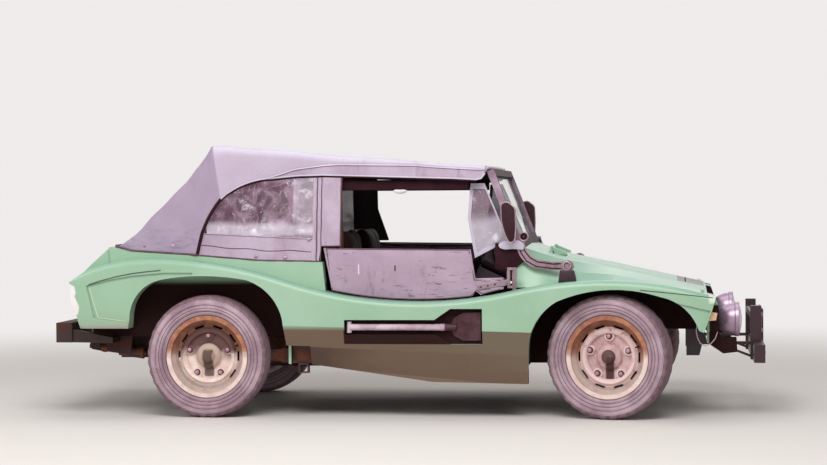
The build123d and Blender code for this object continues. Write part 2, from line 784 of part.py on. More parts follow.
class Corner:
    """Place of one road wheel: local x along the radius to the front, local y outwards."""

    def __init__(self, name, axle_x, half_track, side, steered):
        self.name = name
        self.side = side
        self.steered = steered
        angle = radians(-rest_steer) if steered else 0
        self.kingpin = Vector(axle_x, side * (half_track - kingpin_inset), axle_height)
        forward = Vector(cos(angle), sin(angle), 0)
        outward = Vector(-side * sin(angle), side * cos(angle), 0)
        origin = self.kingpin + outward * kingpin_inset if steered else Vector(axle_x, side * half_track, axle_height)
        self.plane = Plane(origin=origin, x_dir=forward, z_dir=forward.cross(outward))
        self.axis = Axis(origin, outward)
        self.forward = forward
        self.outward = outward

    def face(self, offset):
        """A plane across the wheel, offset outwards from its middle."""
        return Plane(origin=self.axis.position + self.outward * offset, x_dir=self.forward, z_dir=self.outward)


# name, axle, half track, side, steered
corners = [
    Corner("front_right", front_axle_x, front_half_track, -1, True),
    Corner("front_left", front_axle_x, front_half_track, 1, True),
    Corner("rear_right", rear_axle_x, rear_half_track, -1, False),
    Corner("rear_left", rear_axle_x, rear_half_track, 1, False),
]


def tyre(corner):
    edge = tyre_radius - 3
    with BuildPart() as ring:
        with BuildSketch(corner.plane):
            with BuildLine():
                for side in (-1, 1):
                    Polyline((bead_radius, side * 60), (flange_radius, side * 60), (flange_radius + 2, side * 66))
                    ThreePointArc((flange_radius + 2, side * 66), (250, side * tyre_half), (286, side * 79))
                    ThreePointArc((286, side * 79), (299, side * 75), (edge, side * tread_half))
                ThreePointArc((edge, -tread_half), (tyre_radius, 0), (edge, tread_half))
                Line((bead_radius, -60), (bead_radius, 60))
            make_face()
        revolve(axis=corner.axis)
    return ring.part


def road_wheel(corner):
    """Pressed steel wheel: the rim, and a dished ring with an open, five-lobed middle."""
    bead, well = bead_radius - rim_sheet, well_radius - rim_sheet
    with BuildPart() as rim:
        with BuildSketch(corner.plane):
            with BuildLine():
                Polyline((flange_radius, -rim_half), (flange_radius, -60), (bead_radius, -60), (bead_radius, -38),
                         (well_radius, -22), (well_radius, 22), (bead_radius, 38), (bead_radius, 60),
                         (flange_radius, 60), (flange_radius, rim_half), (bead, rim_half), (bead, 40), (well, 24),
                         (well, 16), (146, 18), (133, 30), (119, 24), (disc_bore, 14), (disc_bore, 8), (120, 17),
                         (132, 23), (145, 11), (well, 9), (well, -24), (bead, -40), (bead, -rim_half), close=True)
            make_face()
        revolve(axis=corner.axis)
        with BuildSketch(corner.face(drum_face)):
            with PolarLocations(bolt_radius, bolt_count, start_angle=90):
                Circle(25)
        extrude(amount=8)
        with BuildSketch(corner.face(0)):
            with PolarLocations(slot_radius, slot_count):
                SlotOverall(slot_length, slot_width, rotation=90)
        extrude(amount=30, mode=Mode.SUBTRACT)
    return rim.part


def drum(corner):
    """Brake drum with its domed hub and grease cap."""
    bore = shaft_radius + running_fit
    back = drum_face - drum_depth
    with BuildPart() as hub:
        with BuildSketch(corner.plane):
            with BuildLine():
                Polyline((bore, drum_face), (drum_radius, drum_face), (drum_radius, back), (drum_radius - 10, back),
                         (drum_radius - 10, -6), (40, -6), (40, -34), (bore, -34), close=True)
            make_face()
            with BuildLine():
                Polyline((28, drum_face), (66, drum_face))
                ThreePointArc((66, drum_face), (60, 22), (46, 30))
                Polyline((46, 30), (34, 33), (31, 50), (26, 55), (15, 58), (0, 58), (0, 50), (24, 50), (28, 28),
                         (28, drum_face))
            make_face()
        revolve(axis=corner.axis)
    return hub.part


def stub(corner, inner_end):
    """Stub shaft and brake back plate, in the open BuildPart."""
    shaft = [(0, inner_end), (shaft_radius, inner_end), (shaft_radius, 14), (0, 14)]
    back_plate = [(0, -52), (plate_radius, -52), (plate_radius, -47), (0, -47)]
    for points in (shaft, back_plate):
        revolve(outline(corner.plane, points), axis=corner.axis)


def knuckle(corner):
    with BuildPart() as piece:
        stub(corner, -kingpin_inset)
        with Locations(corner.kingpin):
            Cylinder(27, 96)
        arm_end = corner.kingpin + corner.forward * -130 - corner.outward * 12
        rod(corner.kingpin + Vector(0, 0, -30), arm_end + Vector(0, 0, -30), 10)
        with Locations(corner.kingpin):
            Cylinder(kingpin_radius + running_fit, 120, mode=Mode.SUBTRACT)
    return piece.part


# Rear axle: swing tubes from the gearbox, the torsion tube ahead of them and the arms between
torsion_x = -638
torsion_radius = 38


def rear_axle():
    with BuildPart() as axle:
        for corner in corners[2:]:
            stub(corner, -60)
            side = corner.side
            rod((rear_axle_x, side * 120, axle_height), (rear_axle_x, side * (rear_half_track - 53), axle_height), 34)
            rod((torsion_x, side * 100, 300), (torsion_x, side * (rear_half_track - 135), 300), torsion_radius)
            block((rear_axle_x, torsion_x + 18), span(side, rear_half_track - 147, rear_half_track - 135), (270, 330))
            block((rear_axle_x - 30, rear_axle_x + 30), span(side, rear_half_track - 155, rear_half_track - 57),
                  (270, 346))
        rod((torsion_x, -110, 300), (torsion_x, 110, 300), torsion_radius)
    return axle.part


def transaxle():
    with BuildPart() as box:
        block((rear_axle_x - 130, torsion_x - torsion_radius), (-118, 118), (210, 400))
        fillet(box.edges().filter_by(Axis.X), radius=40)
    return box.part


engine_rear, engine_front = -1540, -1130


def engine_block():
    """The engine as one plain block with its fan housing."""
    with BuildPart() as engine:
        block((engine_rear, engine_front), (-370, 370), (275, 470))
        with BuildSketch(Plane.YZ.offset(engine_rear - 20)):
            with BuildLine():
                Polyline((-200, 580), (-200, 470), (200, 470), (200, 580))
                ThreePointArc((200, 580), (0, 690), (-200, 580))
            make_face()
        extrude(amount=300)
    return engine.part


def exhaust():
    x, z = engine_rear - 70, 350
    with BuildPart() as pipe:
        rod((x, -430, z), (x, 430, z), 44)
        for side in (-1, 1):
            rod((x, side * 200, 338), (-1745, side * 200, 330), 18)
            rod((engine_rear, side * 200, z), (x + 30, side * 200, z), 22)
            rod((-1690, side * 430, 342), (-1390, side * 430, 300), 15)
            rod((-1530, side * 430, 322), (-1400, side * 430, 304), 32)
    return pipe.part


# Bumpers
def front_bumper():
    beam_rear, beam_front = overall_half - 60, overall_half - 6
    with BuildPart() as bumper:
        block((beam_rear, beam_front), (-600, 600), (273, 362))
        for side in (-1, 1):
            block((beam_rear - 10, beam_front - 10), span(side, 325, 375), (273, 545))
            for points in (
                [(1400, 430), (1490, 430), (1504, 362), (beam_rear, 362), (beam_rear, 346), (1480, 346), (1466, 290),
                 (1400, 290)],
                [(1560, 346), (1584, 346), (beam_rear, 292), (beam_rear, 278)],
            ):
                side_slice(points, side * 330 - 6, side * 330 + 6)
        block((beam_rear - 10, beam_rear + 8), (-350, 350), (480, 510))
    return bumper.part


def blank_plate():
    with BuildPart() as plate:
        block((overall_half - 6, overall_half), (-230, 230), (319, 520))
    return plate.part


def rear_bumper():
    beam_front = 82 - overall_half
    with BuildPart() as bumper:
        block((-overall_half, beam_front), (-700, 700), (375, 475))
        for side in (-1, 1):
            near, far = span(side, 640, side_inner)
            side_slice([(beam_front, 440), (-1500, 400), (-1500, 372), (beam_front, 375)], -far, -near)
            block((-1530, -1500), span(side, 520, 640), (372, 400))
            block((beam_front - 2, -1500), span(side, 520, 560), (400, 440))
            near, far = span(side, 530, 542)
            side_slice([(-1650, 430), (-1606, 430), (-1606, 322), (-1650, 330)], -far, -near)
            side_slice([(-1570, 430), (-1430, 430), (-1446, 300), (-1570, 318)], -far, -near)
    return bumper.part


def headlamp():
    centre = (1556, -550, 488)
    with BuildPart() as lamp:
        with BuildSketch(Plane(origin=centre, x_dir=(0, 0, 1), z_dir=(0, 1, 0))):
            with BuildLine():
                Polyline((0, 0), (40, 0))
                ThreePointArc((40, 0), (70, 36), (80, 80))
                Polyline((80, 80), (86, 84), (86, 96), (74, 98))
                ThreePointArc((74, 98), (45, 107), (12, 110))
                Polyline((12, 110), (0, 110), (0, 0))
            make_face()
        revolve(axis=Axis(centre, (1, 0, 0)))
    return lamp.part


def lamp_brow():
    """Nose panel round the headlamp: the face between the wing and the middle, and its lower lip."""
    with BuildPart() as brow:
        side_slice([(deck_front, 434), (deck_front, 616), (1540, 606), (1556, 560), (1556, 434)], 470, side_inner)
        side_slice([(deck_front, 434), (1556, 434), (1572, 400), (1646, 397), (1650, 326), (1580, 318),
                    (deck_front, 372)], 520, 580)
    return brow.part


def indicator():
    """Turn lamp on the front edge of the wing."""
    slope = (1522 - nose_low[0]) / (541 - nose_low[1])
    low, high = 490, 534
    with BuildPart() as lamp:
        side_slice([(nose_low[0] + (low - nose_low[1]) * slope, low), (nose_low[0] + (high - nose_low[1]) * slope, high),
                    (1548, 528), (1542, 494)], body_half - 74, body_half - 26)
    return lamp.part


def tail_lamp():
    with BuildPart() as lamp:
        side_slice(lamp_outline + [(-1681, 553), (-1690, 614)], body_half - lamp_depth, body_half - 3)
    return lamp.part


def mirror_piece():
    with BuildPart() as piece:
        block((498, 540), (-772, -642), (885, 1075))
        fillet(piece.edges().filter_by(Axis.X), radius=24)
        for z in (965, 1030):
            pillar_y = screen_half_low - screen_lean * (z - screen_base[1]) + 2 * seat_gap
            rod((screen_x(z), -650, z), (screen_x(z), -pillar_y, z), 6)
    return piece.part


def scuttle_arm(form):
    """Curved flat arm from the foot of the windscreen to a bush on the wing top."""
    with BuildPart() as arm:
        with BuildSketch(Plane.XZ.offset(660)):
            with BuildLine():
                ThreePointArc((561, 880), (588, 795), (655, 748))
                Polyline((655, 748), (745, 737), (800, 735))
                ThreePointArc((800, 735), (846, 757), (802, 781))
                Polyline((802, 781), (740, 778), (668, 790))
                ThreePointArc((668, 790), (622, 824), (600, 880))
                Line((600, 880), (561, 880))
            make_face()
        extrude(amount=16)
        rod((576, -676, 866), (576, -622, 866), 8)
        rod((812, -668, 660), (812, -668, 745), 22)
        rod((812, -680, 759), (812, -656, 759), 13)
        add(form, mode=Mode.SUBTRACT)
    return arm.part


def spade():
    centre_y, shaft_z = 24 - body_half, 459
    with BuildPart() as tool:
        rod((-268, centre_y, shaft_z), (200, centre_y, shaft_z), 16)
        rod((-268, centre_y, shaft_z - 28), (-268, centre_y, shaft_z + 28), 12)
        side_slice([(236, 462), (256, 505), (300, 530), (388, 532), (388, 392), (300, 392), (256, 416), (236, 455)],
                   body_half - spade_recess_depth + 1, body_half - spade_recess_depth + 9)
        rod((190, centre_y, shaft_z), (270, centre_y, shaft_z), 17.5)
    return tool.part


def jack_tube():
    """Open square socket for the jack, with the outrigger that carries it."""
    low, high = (-540, cabin_half, 222), (-490, side_inner, 270)
    sheet = 5
    with BuildPart() as tube:
        block((low[0], high[0]), (-high[1], -low[1]), (low[2], high[2]))
        block((low[0] + sheet, high[0] - sheet), (-high[1] - 1, -low[1] + 1), (low[2] + sheet, high[2] - sheet),
              mode=Mode.SUBTRACT)
        block((bulkhead_x - 30 + wall, sill_rear[0]), (-cabin_half - 20, -cabin_half), (high[2], 361))
    return tube.part


def main():
    os.makedirs("parts", exist_ok=True)
    deck = front_deck()
    form = deck_block()
    shell = hood_shell(hood_form(0), hood_form(hood_wall))
    window = window_space()
    save("floor_pan", floor_pan())
    save_pair("body_side", body_side())
    save("rear_body", rear_body())
    save("front_body", front_body(deck))
    save("bonnet_lid", bonnet_lid(deck))
    save("engine_lid", engine_lid())
    save("hood", hood(shell))
    save_both("side_curtains", side_curtain(shell, window), quarter_curtain())
    save_both("curtain_panes", curtain_pane(shell, window), quarter_pane())
    save("windscreen_frame", windscreen_frame(form))
    save("windscreen_glass", windscreen_glass())
    save("roof_frame", roof_frame())
    save_pair("door", door())
    save_both("door_posts", door_post())
    save_both("seats", seat(-345))
    save("rear_bench", rear_bench())
    save("dashboard", dashboard())
    save("steering_column", steering_column())
    save("steering_wheel", steering_wheel())
    save("front_axle", front_axle())
    for corner in corners:
        save(f"tyre_{corner.name}", tyre(corner))
        save(f"wheel_{corner.name}", road_wheel(corner))
        save(f"drum_{corner.name}", drum(corner))
        if corner.steered:
            save(f"knuckle_{'left' if corner.side > 0 else 'right'}", knuckle(corner))
    save("rear_axle", rear_axle())
    save("transaxle", transaxle())
    save("engine_block", engine_block())
    save("exhaust", exhaust())
    save("front_bumper", front_bumper())
    save("blank_plate", blank_plate())
    save("rear_bumper", rear_bumper())
    save_both("headlamps", headlamp())
    save_both("lamp_brows", lamp_brow())
    save_both("indicators", indicator())
    save_both("tail_lamps", tail_lamp())
    save_both("mirrors", mirror_piece())
    save_both("scuttle_arms", scuttle_arm(form))
    save_both("spades", spade())
    save_both("jack_tubes", jack_tube())


main()
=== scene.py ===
import json
import bmesh
import bpy
from math import atan2, ceil, cos, hypot, pi, radians, sin
from mathutils import Matrix, Vector, noise


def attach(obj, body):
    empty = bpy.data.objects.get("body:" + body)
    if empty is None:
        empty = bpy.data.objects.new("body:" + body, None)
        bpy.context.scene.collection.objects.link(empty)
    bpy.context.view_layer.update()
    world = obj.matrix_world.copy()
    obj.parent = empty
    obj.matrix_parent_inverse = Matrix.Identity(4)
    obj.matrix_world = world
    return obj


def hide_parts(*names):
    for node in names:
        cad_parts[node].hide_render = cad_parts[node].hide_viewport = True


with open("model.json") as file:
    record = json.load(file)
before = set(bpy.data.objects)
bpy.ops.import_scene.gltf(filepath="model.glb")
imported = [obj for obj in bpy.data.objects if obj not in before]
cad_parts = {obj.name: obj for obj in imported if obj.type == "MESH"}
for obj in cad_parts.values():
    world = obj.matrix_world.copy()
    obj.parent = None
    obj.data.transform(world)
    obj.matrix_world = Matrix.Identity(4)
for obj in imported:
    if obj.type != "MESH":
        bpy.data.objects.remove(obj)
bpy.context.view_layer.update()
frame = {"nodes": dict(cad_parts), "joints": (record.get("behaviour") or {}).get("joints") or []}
nodes = frame["nodes"]
print("frame loaded:", len(nodes), "nodes")


def tone(red, green, blue):
    # a screen colour, 0 to 255, as the linear colour that a shader wants
    linear = [((c / 255 + 0.055) / 1.055) ** 2.4 if c > 10 else c / 255 / 12.92 for c in (red, green, blue)]
    return (*linear, 1)


class Wire:
    # a socket of a material, so that shader maths reads as plain arithmetic
    def __init__(self, tree, socket=None):
        self.tree = tree
        self.socket = socket

    def node(self, kind, settings=(), inputs=(), output=0):
        made = self.tree.nodes.new("ShaderNode" + kind)
        for key, value in dict(settings).items():
            if key == "stops":
                elements = made.color_ramp.elements
                elements[0].position, elements[0].color = value[0]
                elements[1].position, elements[1].color = value[-1]
                for place, colour in value[1:-1]:
                    elements.new(place).color = colour
            else:
                setattr(made, key, value)
        for key, value in dict(inputs).items():
            if isinstance(value, Wire):
                self.tree.links.new(value.socket, made.inputs[key])
            else:
                made.inputs[key].default_value = value
        return Wire(self.tree, made.outputs[output])

    def math(self, operation, *values):
        return self.node("Math", {"operation": operation}, enumerate(values))

    def own(self, operation):  # a function of this wire alone
        return self.math(operation, self)

    def most(self, *others):  # the greatest of this and the others
        out = self
        for other in others:
            out = self.math("MAXIMUM", out, other)
        return out

    def __add__(self, other):
        return self.math("ADD", self, other)

    def __sub__(self, other):
        return self.math("SUBTRACT", self, other)

    def __rsub__(self, other):
        return self.math("SUBTRACT", other, self)

    def __mul__(self, other):
        return self.math("MULTIPLY", self, other)

    __radd__ = __add__
    __rmul__ = __mul__

    def above(self, low, high):  # 0 below low, 1 above high, soft between
        return self.node("MapRange", {"interpolation_type": "SMOOTHSTEP"},
                         {0: self, 1: low, 2: high, 3: 0.0, 4: 1.0})

    def below(self, low, high):
        return 1 - self.above(low, high)

    def between(self, low, rising, falling, high):  # 1 from rising to falling, 0 outside low and high
        return self.above(low, rising) * self.below(falling, high)

    def colour(self, under, over):  # under where this is 0, over where it is 1
        return self.node("Mix", {"data_type": "RGBA"}, {0: self, 6: under, 7: over}, 2)

    def noise(self, scale, detail=3.0, rough=0.55, warp=0.0):
        return self.node("TexNoise", {}, {"Vector": self, "Scale": scale, "Detail": detail,
                                          "Roughness": rough, "Distortion": warp})

    def stretched(self, x, y, z):
        return self.node("Mapping", {}, {0: self, 3: (x, y, z)})

    def axes(self):
        return [self.node("SeparateXYZ", {}, {0: self}, k) for k in range(3)]


class Finish:
    # one material: its wires and its surface shader
    def __init__(self, name, **constants):
        self.material = bpy.data.materials.new(name)
        self.material.use_nodes = True
        tree = self.material.node_tree
        self.shader = tree.nodes["Principled BSDF"]
        for key, value in constants.items():
            self.shader.inputs[key.replace("_", " ")].default_value = value
        self.place = Wire(tree).node("TexCoord", {}, {}, 3)
        self.facing = Wire(tree).node("NewGeometry", {}, {}, 1)

    def link(self, key, wire):
        wire.tree.links.new(wire.socket, self.shader.inputs[key])

    def bump(self, height, strength=0.5, distance=0.002, under=None):
        inputs = {"Strength": strength, "Distance": distance, "Height": height}
        if under:
            inputs["Normal"] = under
        made = height.node("Bump", {}, inputs)
        self.link("Normal", made)
        return made


def bodyPaint():
    look = {"paint": tone(146, 180, 152), "faded": tone(166, 196, 174), "shade": tone(104, 128, 98),
            "grime": tone(98, 76, 60), "underseal": tone(36, 8, 6), "tuck": tone(106, 78, 62),
            "tuckLow": tone(64, 40, 32), "top": tone(124, 166, 146), "chip": tone(220, 224, 208),
            "mat": tone(44, 26, 30), "haze": tone(146, 150, 128), "lip": tone(150, 122, 112)}
    f = Finish("bodyPaint", Coat_Roughness=0.2, Specular_IOR_Level=0.35)
    x, y, z = f.place.axes()
    ny, nz = f.facing.axes()[1:]
    mottle = f.place.noise(2.2, 5.0, 0.6).above(0.35, 0.7)
    colour = (mottle * 0.45).colour(look["paint"], look["faded"])
    # painted light: faces that look up are darkened and made bluer to damp the light from above; faces that
    # look down get painted shade
    colour = (nz.above(0.35, 0.9) * 0.7).colour(colour, look["top"])
    colour = (nz.below(-0.75, 0.05) * 0.35).colour(colour, look["shade"])
    # painted shade and a painted brown reflection of the ground, with some dust, on the strip that tucks under
    # between the wheels and on its lower edge
    between = x.between(-0.66, -0.62, 0.66, 0.70)
    tuck = nz.below(-0.36, -0.12) * z.below(0.44, 0.47) * between
    lowEdge = z.below(0.235, 0.245) * between
    colour = (tuck.most(lowEdge) * 0.94).colour(colour, look["tuck"])
    colour = (nz.below(-0.45, -0.40) * tuck * 0.8).colour(colour, look["tuckLow"])
    # road dirt on the lower rear wing
    haze = (z + f.place.noise(5.0, 4.0, 0.6) * 0.06).below(0.455, 0.585) * x.below(-1.28, -1.15)
    colour = (haze * 0.55).colour(colour, look["haze"])
    lipTone = (z + f.place.noise(9.0, 4.0, 0.6) * 0.02).below(0.45, 0.49) * x.below(-1.38, -1.30)
    colour = (lipTone * 0.75).colour(colour, look["lip"])
    streak = f.place.stretched(9, 9, 1.2).noise(3.0, 4.0, 0.65).above(0.52, 0.78)
    low = z.below(0.16, 0.42)
    colour = (streak * low * 0.55).colour(colour, look["grime"])
    speck = f.place.noise(90.0, 2.0, 0.5).above(0.72, 0.78)
    colour = (speck * 0.35).colour(colour, look["grime"])
    # worn paint on the nose's corner, and on the bonnet a dark patch of painted shade that stands for the
    # intake slot there
    side = y.own("ABSOLUTE")
    chip = x.above(1.500, 1.515) * z.above(0.572, 0.582) * side.above(0.70, 0.72)
    colour = (chip * 0.8).colour(colour, look["chip"])
    mat = x.between(1.352, 1.358, 1.488, 1.494) * side.below(0.330, 0.336) * nz.above(0.4, 0.5)
    colour = (mat * 0.92).colour(colour, look["mat"])
    # painted shade, with dark underseal in the arches: faces that look inwards, arches, spade recesses, below
    # the brows, sill ends
    inward = y.own("SIGN") * ny
    hidden = inward.below(-0.6, -0.2) * z.below(0.70, 0.74)
    arch = side.below(0.684, 0.689) * z.below(0.66, 0.70) * x.between(-1.64, -1.63, 1.46, 1.47)
    arch = arch * nz.below(0.15, 0.35)
    recess = side.between(0.735, 0.745, 0.783, 0.785) * z.between(0.372, 0.376, 0.552, 0.556)
    recess = recess * x.between(-0.30, -0.292, 0.396, 0.400)
    brow = x.above(1.505, 1.515) * z.below(0.560, 0.572) * side.between(0.36, 0.38, 0.70, 0.71)
    sillEnd = x.between(-0.72, -0.70, -0.604, -0.598) * z.below(0.372, 0.380)
    dark = hidden.most(arch, recess, brow, sillEnd)
    colour = dark.colour(colour, look["underseal"])
    f.link("Base Color", colour)
    f.link("Coat Weight", (1 - dark) * 0.25)
    f.link("Roughness", 0.34 + mottle * 0.12 + streak * low * 0.25 + dark * 0.55)
    wave = f.bump(f.place.noise(5.0, 2.0, 0.5), 0.12, 0.006)
    f.bump(f.place.noise(420.0, 2.0, 0.5), 0.05, 0.0006, wave)
    return f.material


def plainFinish(name, base, other, roughness, metallic=0.0, scale=6.0, amount=0.5, grain=160.0, depth=0.0012,
                strength=0.3, coat=0.0, shine=0.5):
    f = Finish(name, Metallic=metallic, Coat_Weight=coat, Specular_IOR_Level=shine)
    cloud = f.place.noise(scale, 5.0, 0.6).above(0.38, 0.68)
    f.link("Base Color", (cloud * amount).colour(tone(*base), tone(*other)))
    fine = f.place.noise(grain, 3.0, 0.6)
    f.link("Roughness", roughness + (fine - 0.5) * 0.3)
    f.bump(fine, strength, depth)
    return f.material


def rustFinish(name, base, rust, roughness=0.75, cover=(0.42, 0.62), scale=9.0):
    f = Finish(name)
    patch = f.place.noise(scale, 7.0, 0.68, 0.4).above(*cover)
    fine = f.place.noise(scale * 14, 4.0, 0.7)
    deep = fine.above(0.45, 0.75)
    colour = patch.colour(tone(*base), (deep * 0.7).colour(tone(*rust), tone(*[c * 0.55 for c in rust])))
    f.link("Base Color", colour)
    f.link("Roughness", roughness + patch * 0.15 - (1 - patch) * 0.2)
    f.bump(fine * patch, 0.55, 0.0015)
    return f.material


# painted shade for the cloth's faces that look into the cabin
cabinShadeTone = tone(46, 22, 28)


def liningOf(f):
    # 1 on the faces of the cloth that look into the cabin, which get painted shade
    y = f.place.axes()[1]
    ny, nz = f.facing.axes()[1:]
    side = (y.own("SIGN") * ny).below(-0.5, -0.2)
    return side.most(nz.below(-0.7, -0.4))


def canvasFinish(name, cloth, worn, dirt, streaks=0.5):
    f = Finish(name, Sheen_Weight=0.15, Sheen_Roughness=0.5)
    x, y, z = f.place.axes()
    cloud = f.place.noise(3.5, 6.0, 0.62).above(0.35, 0.7)
    colour = (cloud * 0.5).colour(tone(*cloth), tone(*worn))
    stain = f.place.stretched(8, 8, 2.2).noise(2.6, 5.0, 0.7).above(0.55, 0.8)
    colour = (stain * streaks).colour(colour, tone(*dirt))
    speck = f.place.noise(70.0, 3.0, 0.6).above(0.62, 0.74)
    colour = (speck * 0.25).colour(colour, tone(*dirt))
    nz = f.facing.axes()[2]
    colour = (nz.above(0.3, 0.95) * 0.55).colour(colour, tone(*worn))
    # painted shade on the inside faces, but not on the doors
    if name != "doorCloth":
        colour = liningOf(f).colour(colour, cabinShadeTone)
    else:
        scuff = f.place.stretched(1.6, 1, 8).noise(9.0, 6.0, 0.78).above(0.56, 0.64)
        scuff = scuff * f.place.noise(3.0, 3.0, 0.6).above(0.42, 0.56)
        colour = (scuff * 0.8).colour(colour, tone(76, 46, 58))
        tick = x.between(-0.234, -0.231, -0.227, -0.224) * z.between(0.715, 0.725, 0.765, 0.775)
        colour = (tick * 0.8).colour(colour, tone(226, 208, 222))
    f.link("Base Color", colour)
    f.link("Roughness", 0.52 + cloud * 0.2)
    weaveX = ((x + z) * 2600).own("SINE")
    weaveY = ((z - x + y) * 2600).own("SINE")
    crease = f.place.noise(26.0, 4.0, 0.6, 0.6)
    under = f.bump(crease, 0.25, 0.004)
    f.bump(weaveX * weaveY, 0.10, 0.0004, under)
    return f.material


def toolFinish():
    # the spade: a pale shaft, and a blade painted dark as the shade inside its recess
    f = Finish("paintedTool", Roughness=0.5, Specular_IOR_Level=0.3)
    x = f.place.axes()[0]
    cloud = f.place.noise(12.0, 5.0, 0.65).above(0.35, 0.7)
    shaft = cloud.colour(tone(206, 186, 198), tone(166, 138, 152))
    bladeShade = cloud.colour(tone(56, 26, 34), tone(86, 54, 62))
    f.link("Base Color", x.above(0.205, 0.215).colour(shaft, bladeShade))
    f.bump(f.place.noise(120.0, 4.0, 0.6), 0.3, 0.001)
    return f.material


def glassFinish():
    f = Finish("screenGlass", Roughness=0.06, Alpha=0.28, IOR=1.45)
    haze = f.place.noise(5.0, 4.0, 0.6).above(0.4, 0.75)
    f.link("Base Color", (haze * 0.5).colour(tone(150, 160, 160), tone(206, 196, 202)))
    f.link("Alpha", 0.22 + haze * 0.2)
    return f.material


def vinylFinish():
    # crinkled clear vinyl gone smoky, with a milky bloom low down and in its folds
    f = Finish("clearVinyl", Roughness=0.14, Coat_Weight=0.3)
    x, z = f.place.axes()[::2]
    haze = f.place.noise(9.0, 6.0, 0.66, 0.8).above(0.40, 0.66)
    crinkle = f.place.stretched(1.4, 1, 0.8).noise(26.0, 4.0, 0.6, 1.4)
    line = crinkle.above(0.60, 0.70)
    wave = f.place.noise(6.0, 3.0, 0.5) * 0.06
    bloom = (z + wave).between(0.925, 0.955, 0.985, 1.03) * x.below(-0.30, -0.28)
    folded = x.between(-0.570, -0.560, -0.30, -0.28)
    front = x.above(0.2, 0.25)
    quarter = front * (z + wave * 2).below(1.02, 1.10)
    milky = (bloom * 0.75).most(folded * 0.45, quarter * 0.72)
    colour = haze.colour(tone(104, 70, 88), tone(170, 140, 160))
    colour = (front * 0.6).colour(colour, tone(84, 54, 70))
    colour = milky.colour(colour, tone(212, 202, 216))
    f.link("Base Color", (line * 0.4).colour(colour, tone(232, 224, 236)))
    f.link("Alpha", 0.50 + haze * 0.14 + milky * 0.3 + line * 0.1 + front * 0.12)
    f.bump(crinkle, 0.45, 0.004)
    return f.material


def hoodFinish():
    # the top's cloth: pale side panel and a roof made paler by painted sky light, greyer rear panel behind the
    # sewn crease
    f = Finish("hoodPanels", Sheen_Weight=0.15, Sheen_Roughness=0.5)
    x, y, z = f.place.axes()
    nz = f.facing.axes()[2]
    cloud = f.place.noise(3.2, 6.0, 0.62).above(0.35, 0.7)
    fine = f.place.noise(130.0, 3.0, 0.7)
    rear = (x + (z - 1.377) * 0.184 + 0.990).below(-0.003, 0.003)
    # painted light: faces that look up are lighter, as lit by the sky
    sideAndLitRoof = nz.above(-0.1, 0.85).colour(tone(172, 154, 174), tone(206, 198, 216))
    sideAndLitRoof = (cloud * 0.25).colour(sideAndLitRoof, tone(176, 158, 178))
    grey = (cloud * 0.6).colour(tone(150, 132, 154), tone(170, 152, 174))
    low = z.below(0.90, 1.0) * f.place.stretched(3, 3, 9).noise(5.0, 5.0, 0.7).above(0.45, 0.7)
    grey = (low * 0.5).colour(grey, tone(112, 90, 108))
    colour = rear.colour(sideAndLitRoof, grey)
    stain = f.place.stretched(7, 7, 2.0).noise(2.6, 5.0, 0.7).above(0.6, 0.85)
    colour = (stain * 0.35).colour(colour, tone(124, 100, 116))
    colour = (fine.above(0.5, 0.8) * 0.22).colour(colour, tone(110, 90, 108))
    # painted shade on the inside faces
    f.link("Base Color", liningOf(f).colour(colour, cabinShadeTone))
    f.link("Roughness", 0.5 + cloud * 0.2)
    weave = ((x + z) * 2600).own("SINE") * ((z - x + y) * 2600).own("SINE")
    under = f.bump(f.place.noise(22.0, 4.0, 0.6, 0.6), 0.22, 0.004)
    f.bump(weave + fine, 0.14, 0.0006, under)
    return f.material


def screenFinish():
    # the windscreen posts: mauve trim on their sides, dark elsewhere
    f = Finish("screenFrame", Roughness=0.6, Specular_IOR_Level=0.2)
    ny = f.facing.axes()[1]
    cloud = f.place.noise(14.0, 5.0, 0.65).above(0.4, 0.7)
    dark = cloud.colour(tone(46, 24, 32), tone(74, 46, 54))
    mauve = cloud.colour(tone(142, 116, 132), tone(172, 148, 166))
    f.link("Base Color", ny.own("ABSOLUTE").above(0.55, 0.75).colour(dark, mauve))
    return f.material


def wheelWires(f, centre, outward):
    # from the wheel's middle: the radius, the way along the axle, and the place's three parts
    offset = f.place.node("VectorMath", {"operation": "SUBTRACT"}, {0: f.place, 1: tuple(centre)})
    along = f.place.node("VectorMath", {"operation": "DOT_PRODUCT"}, {0: offset, 1: tuple(outward)}, 1)
    reach = f.place.node("VectorMath", {"operation": "LENGTH"}, {0: offset}, 1)
    return (reach * reach - along * along).own("SQRT"), along, offset.axes()


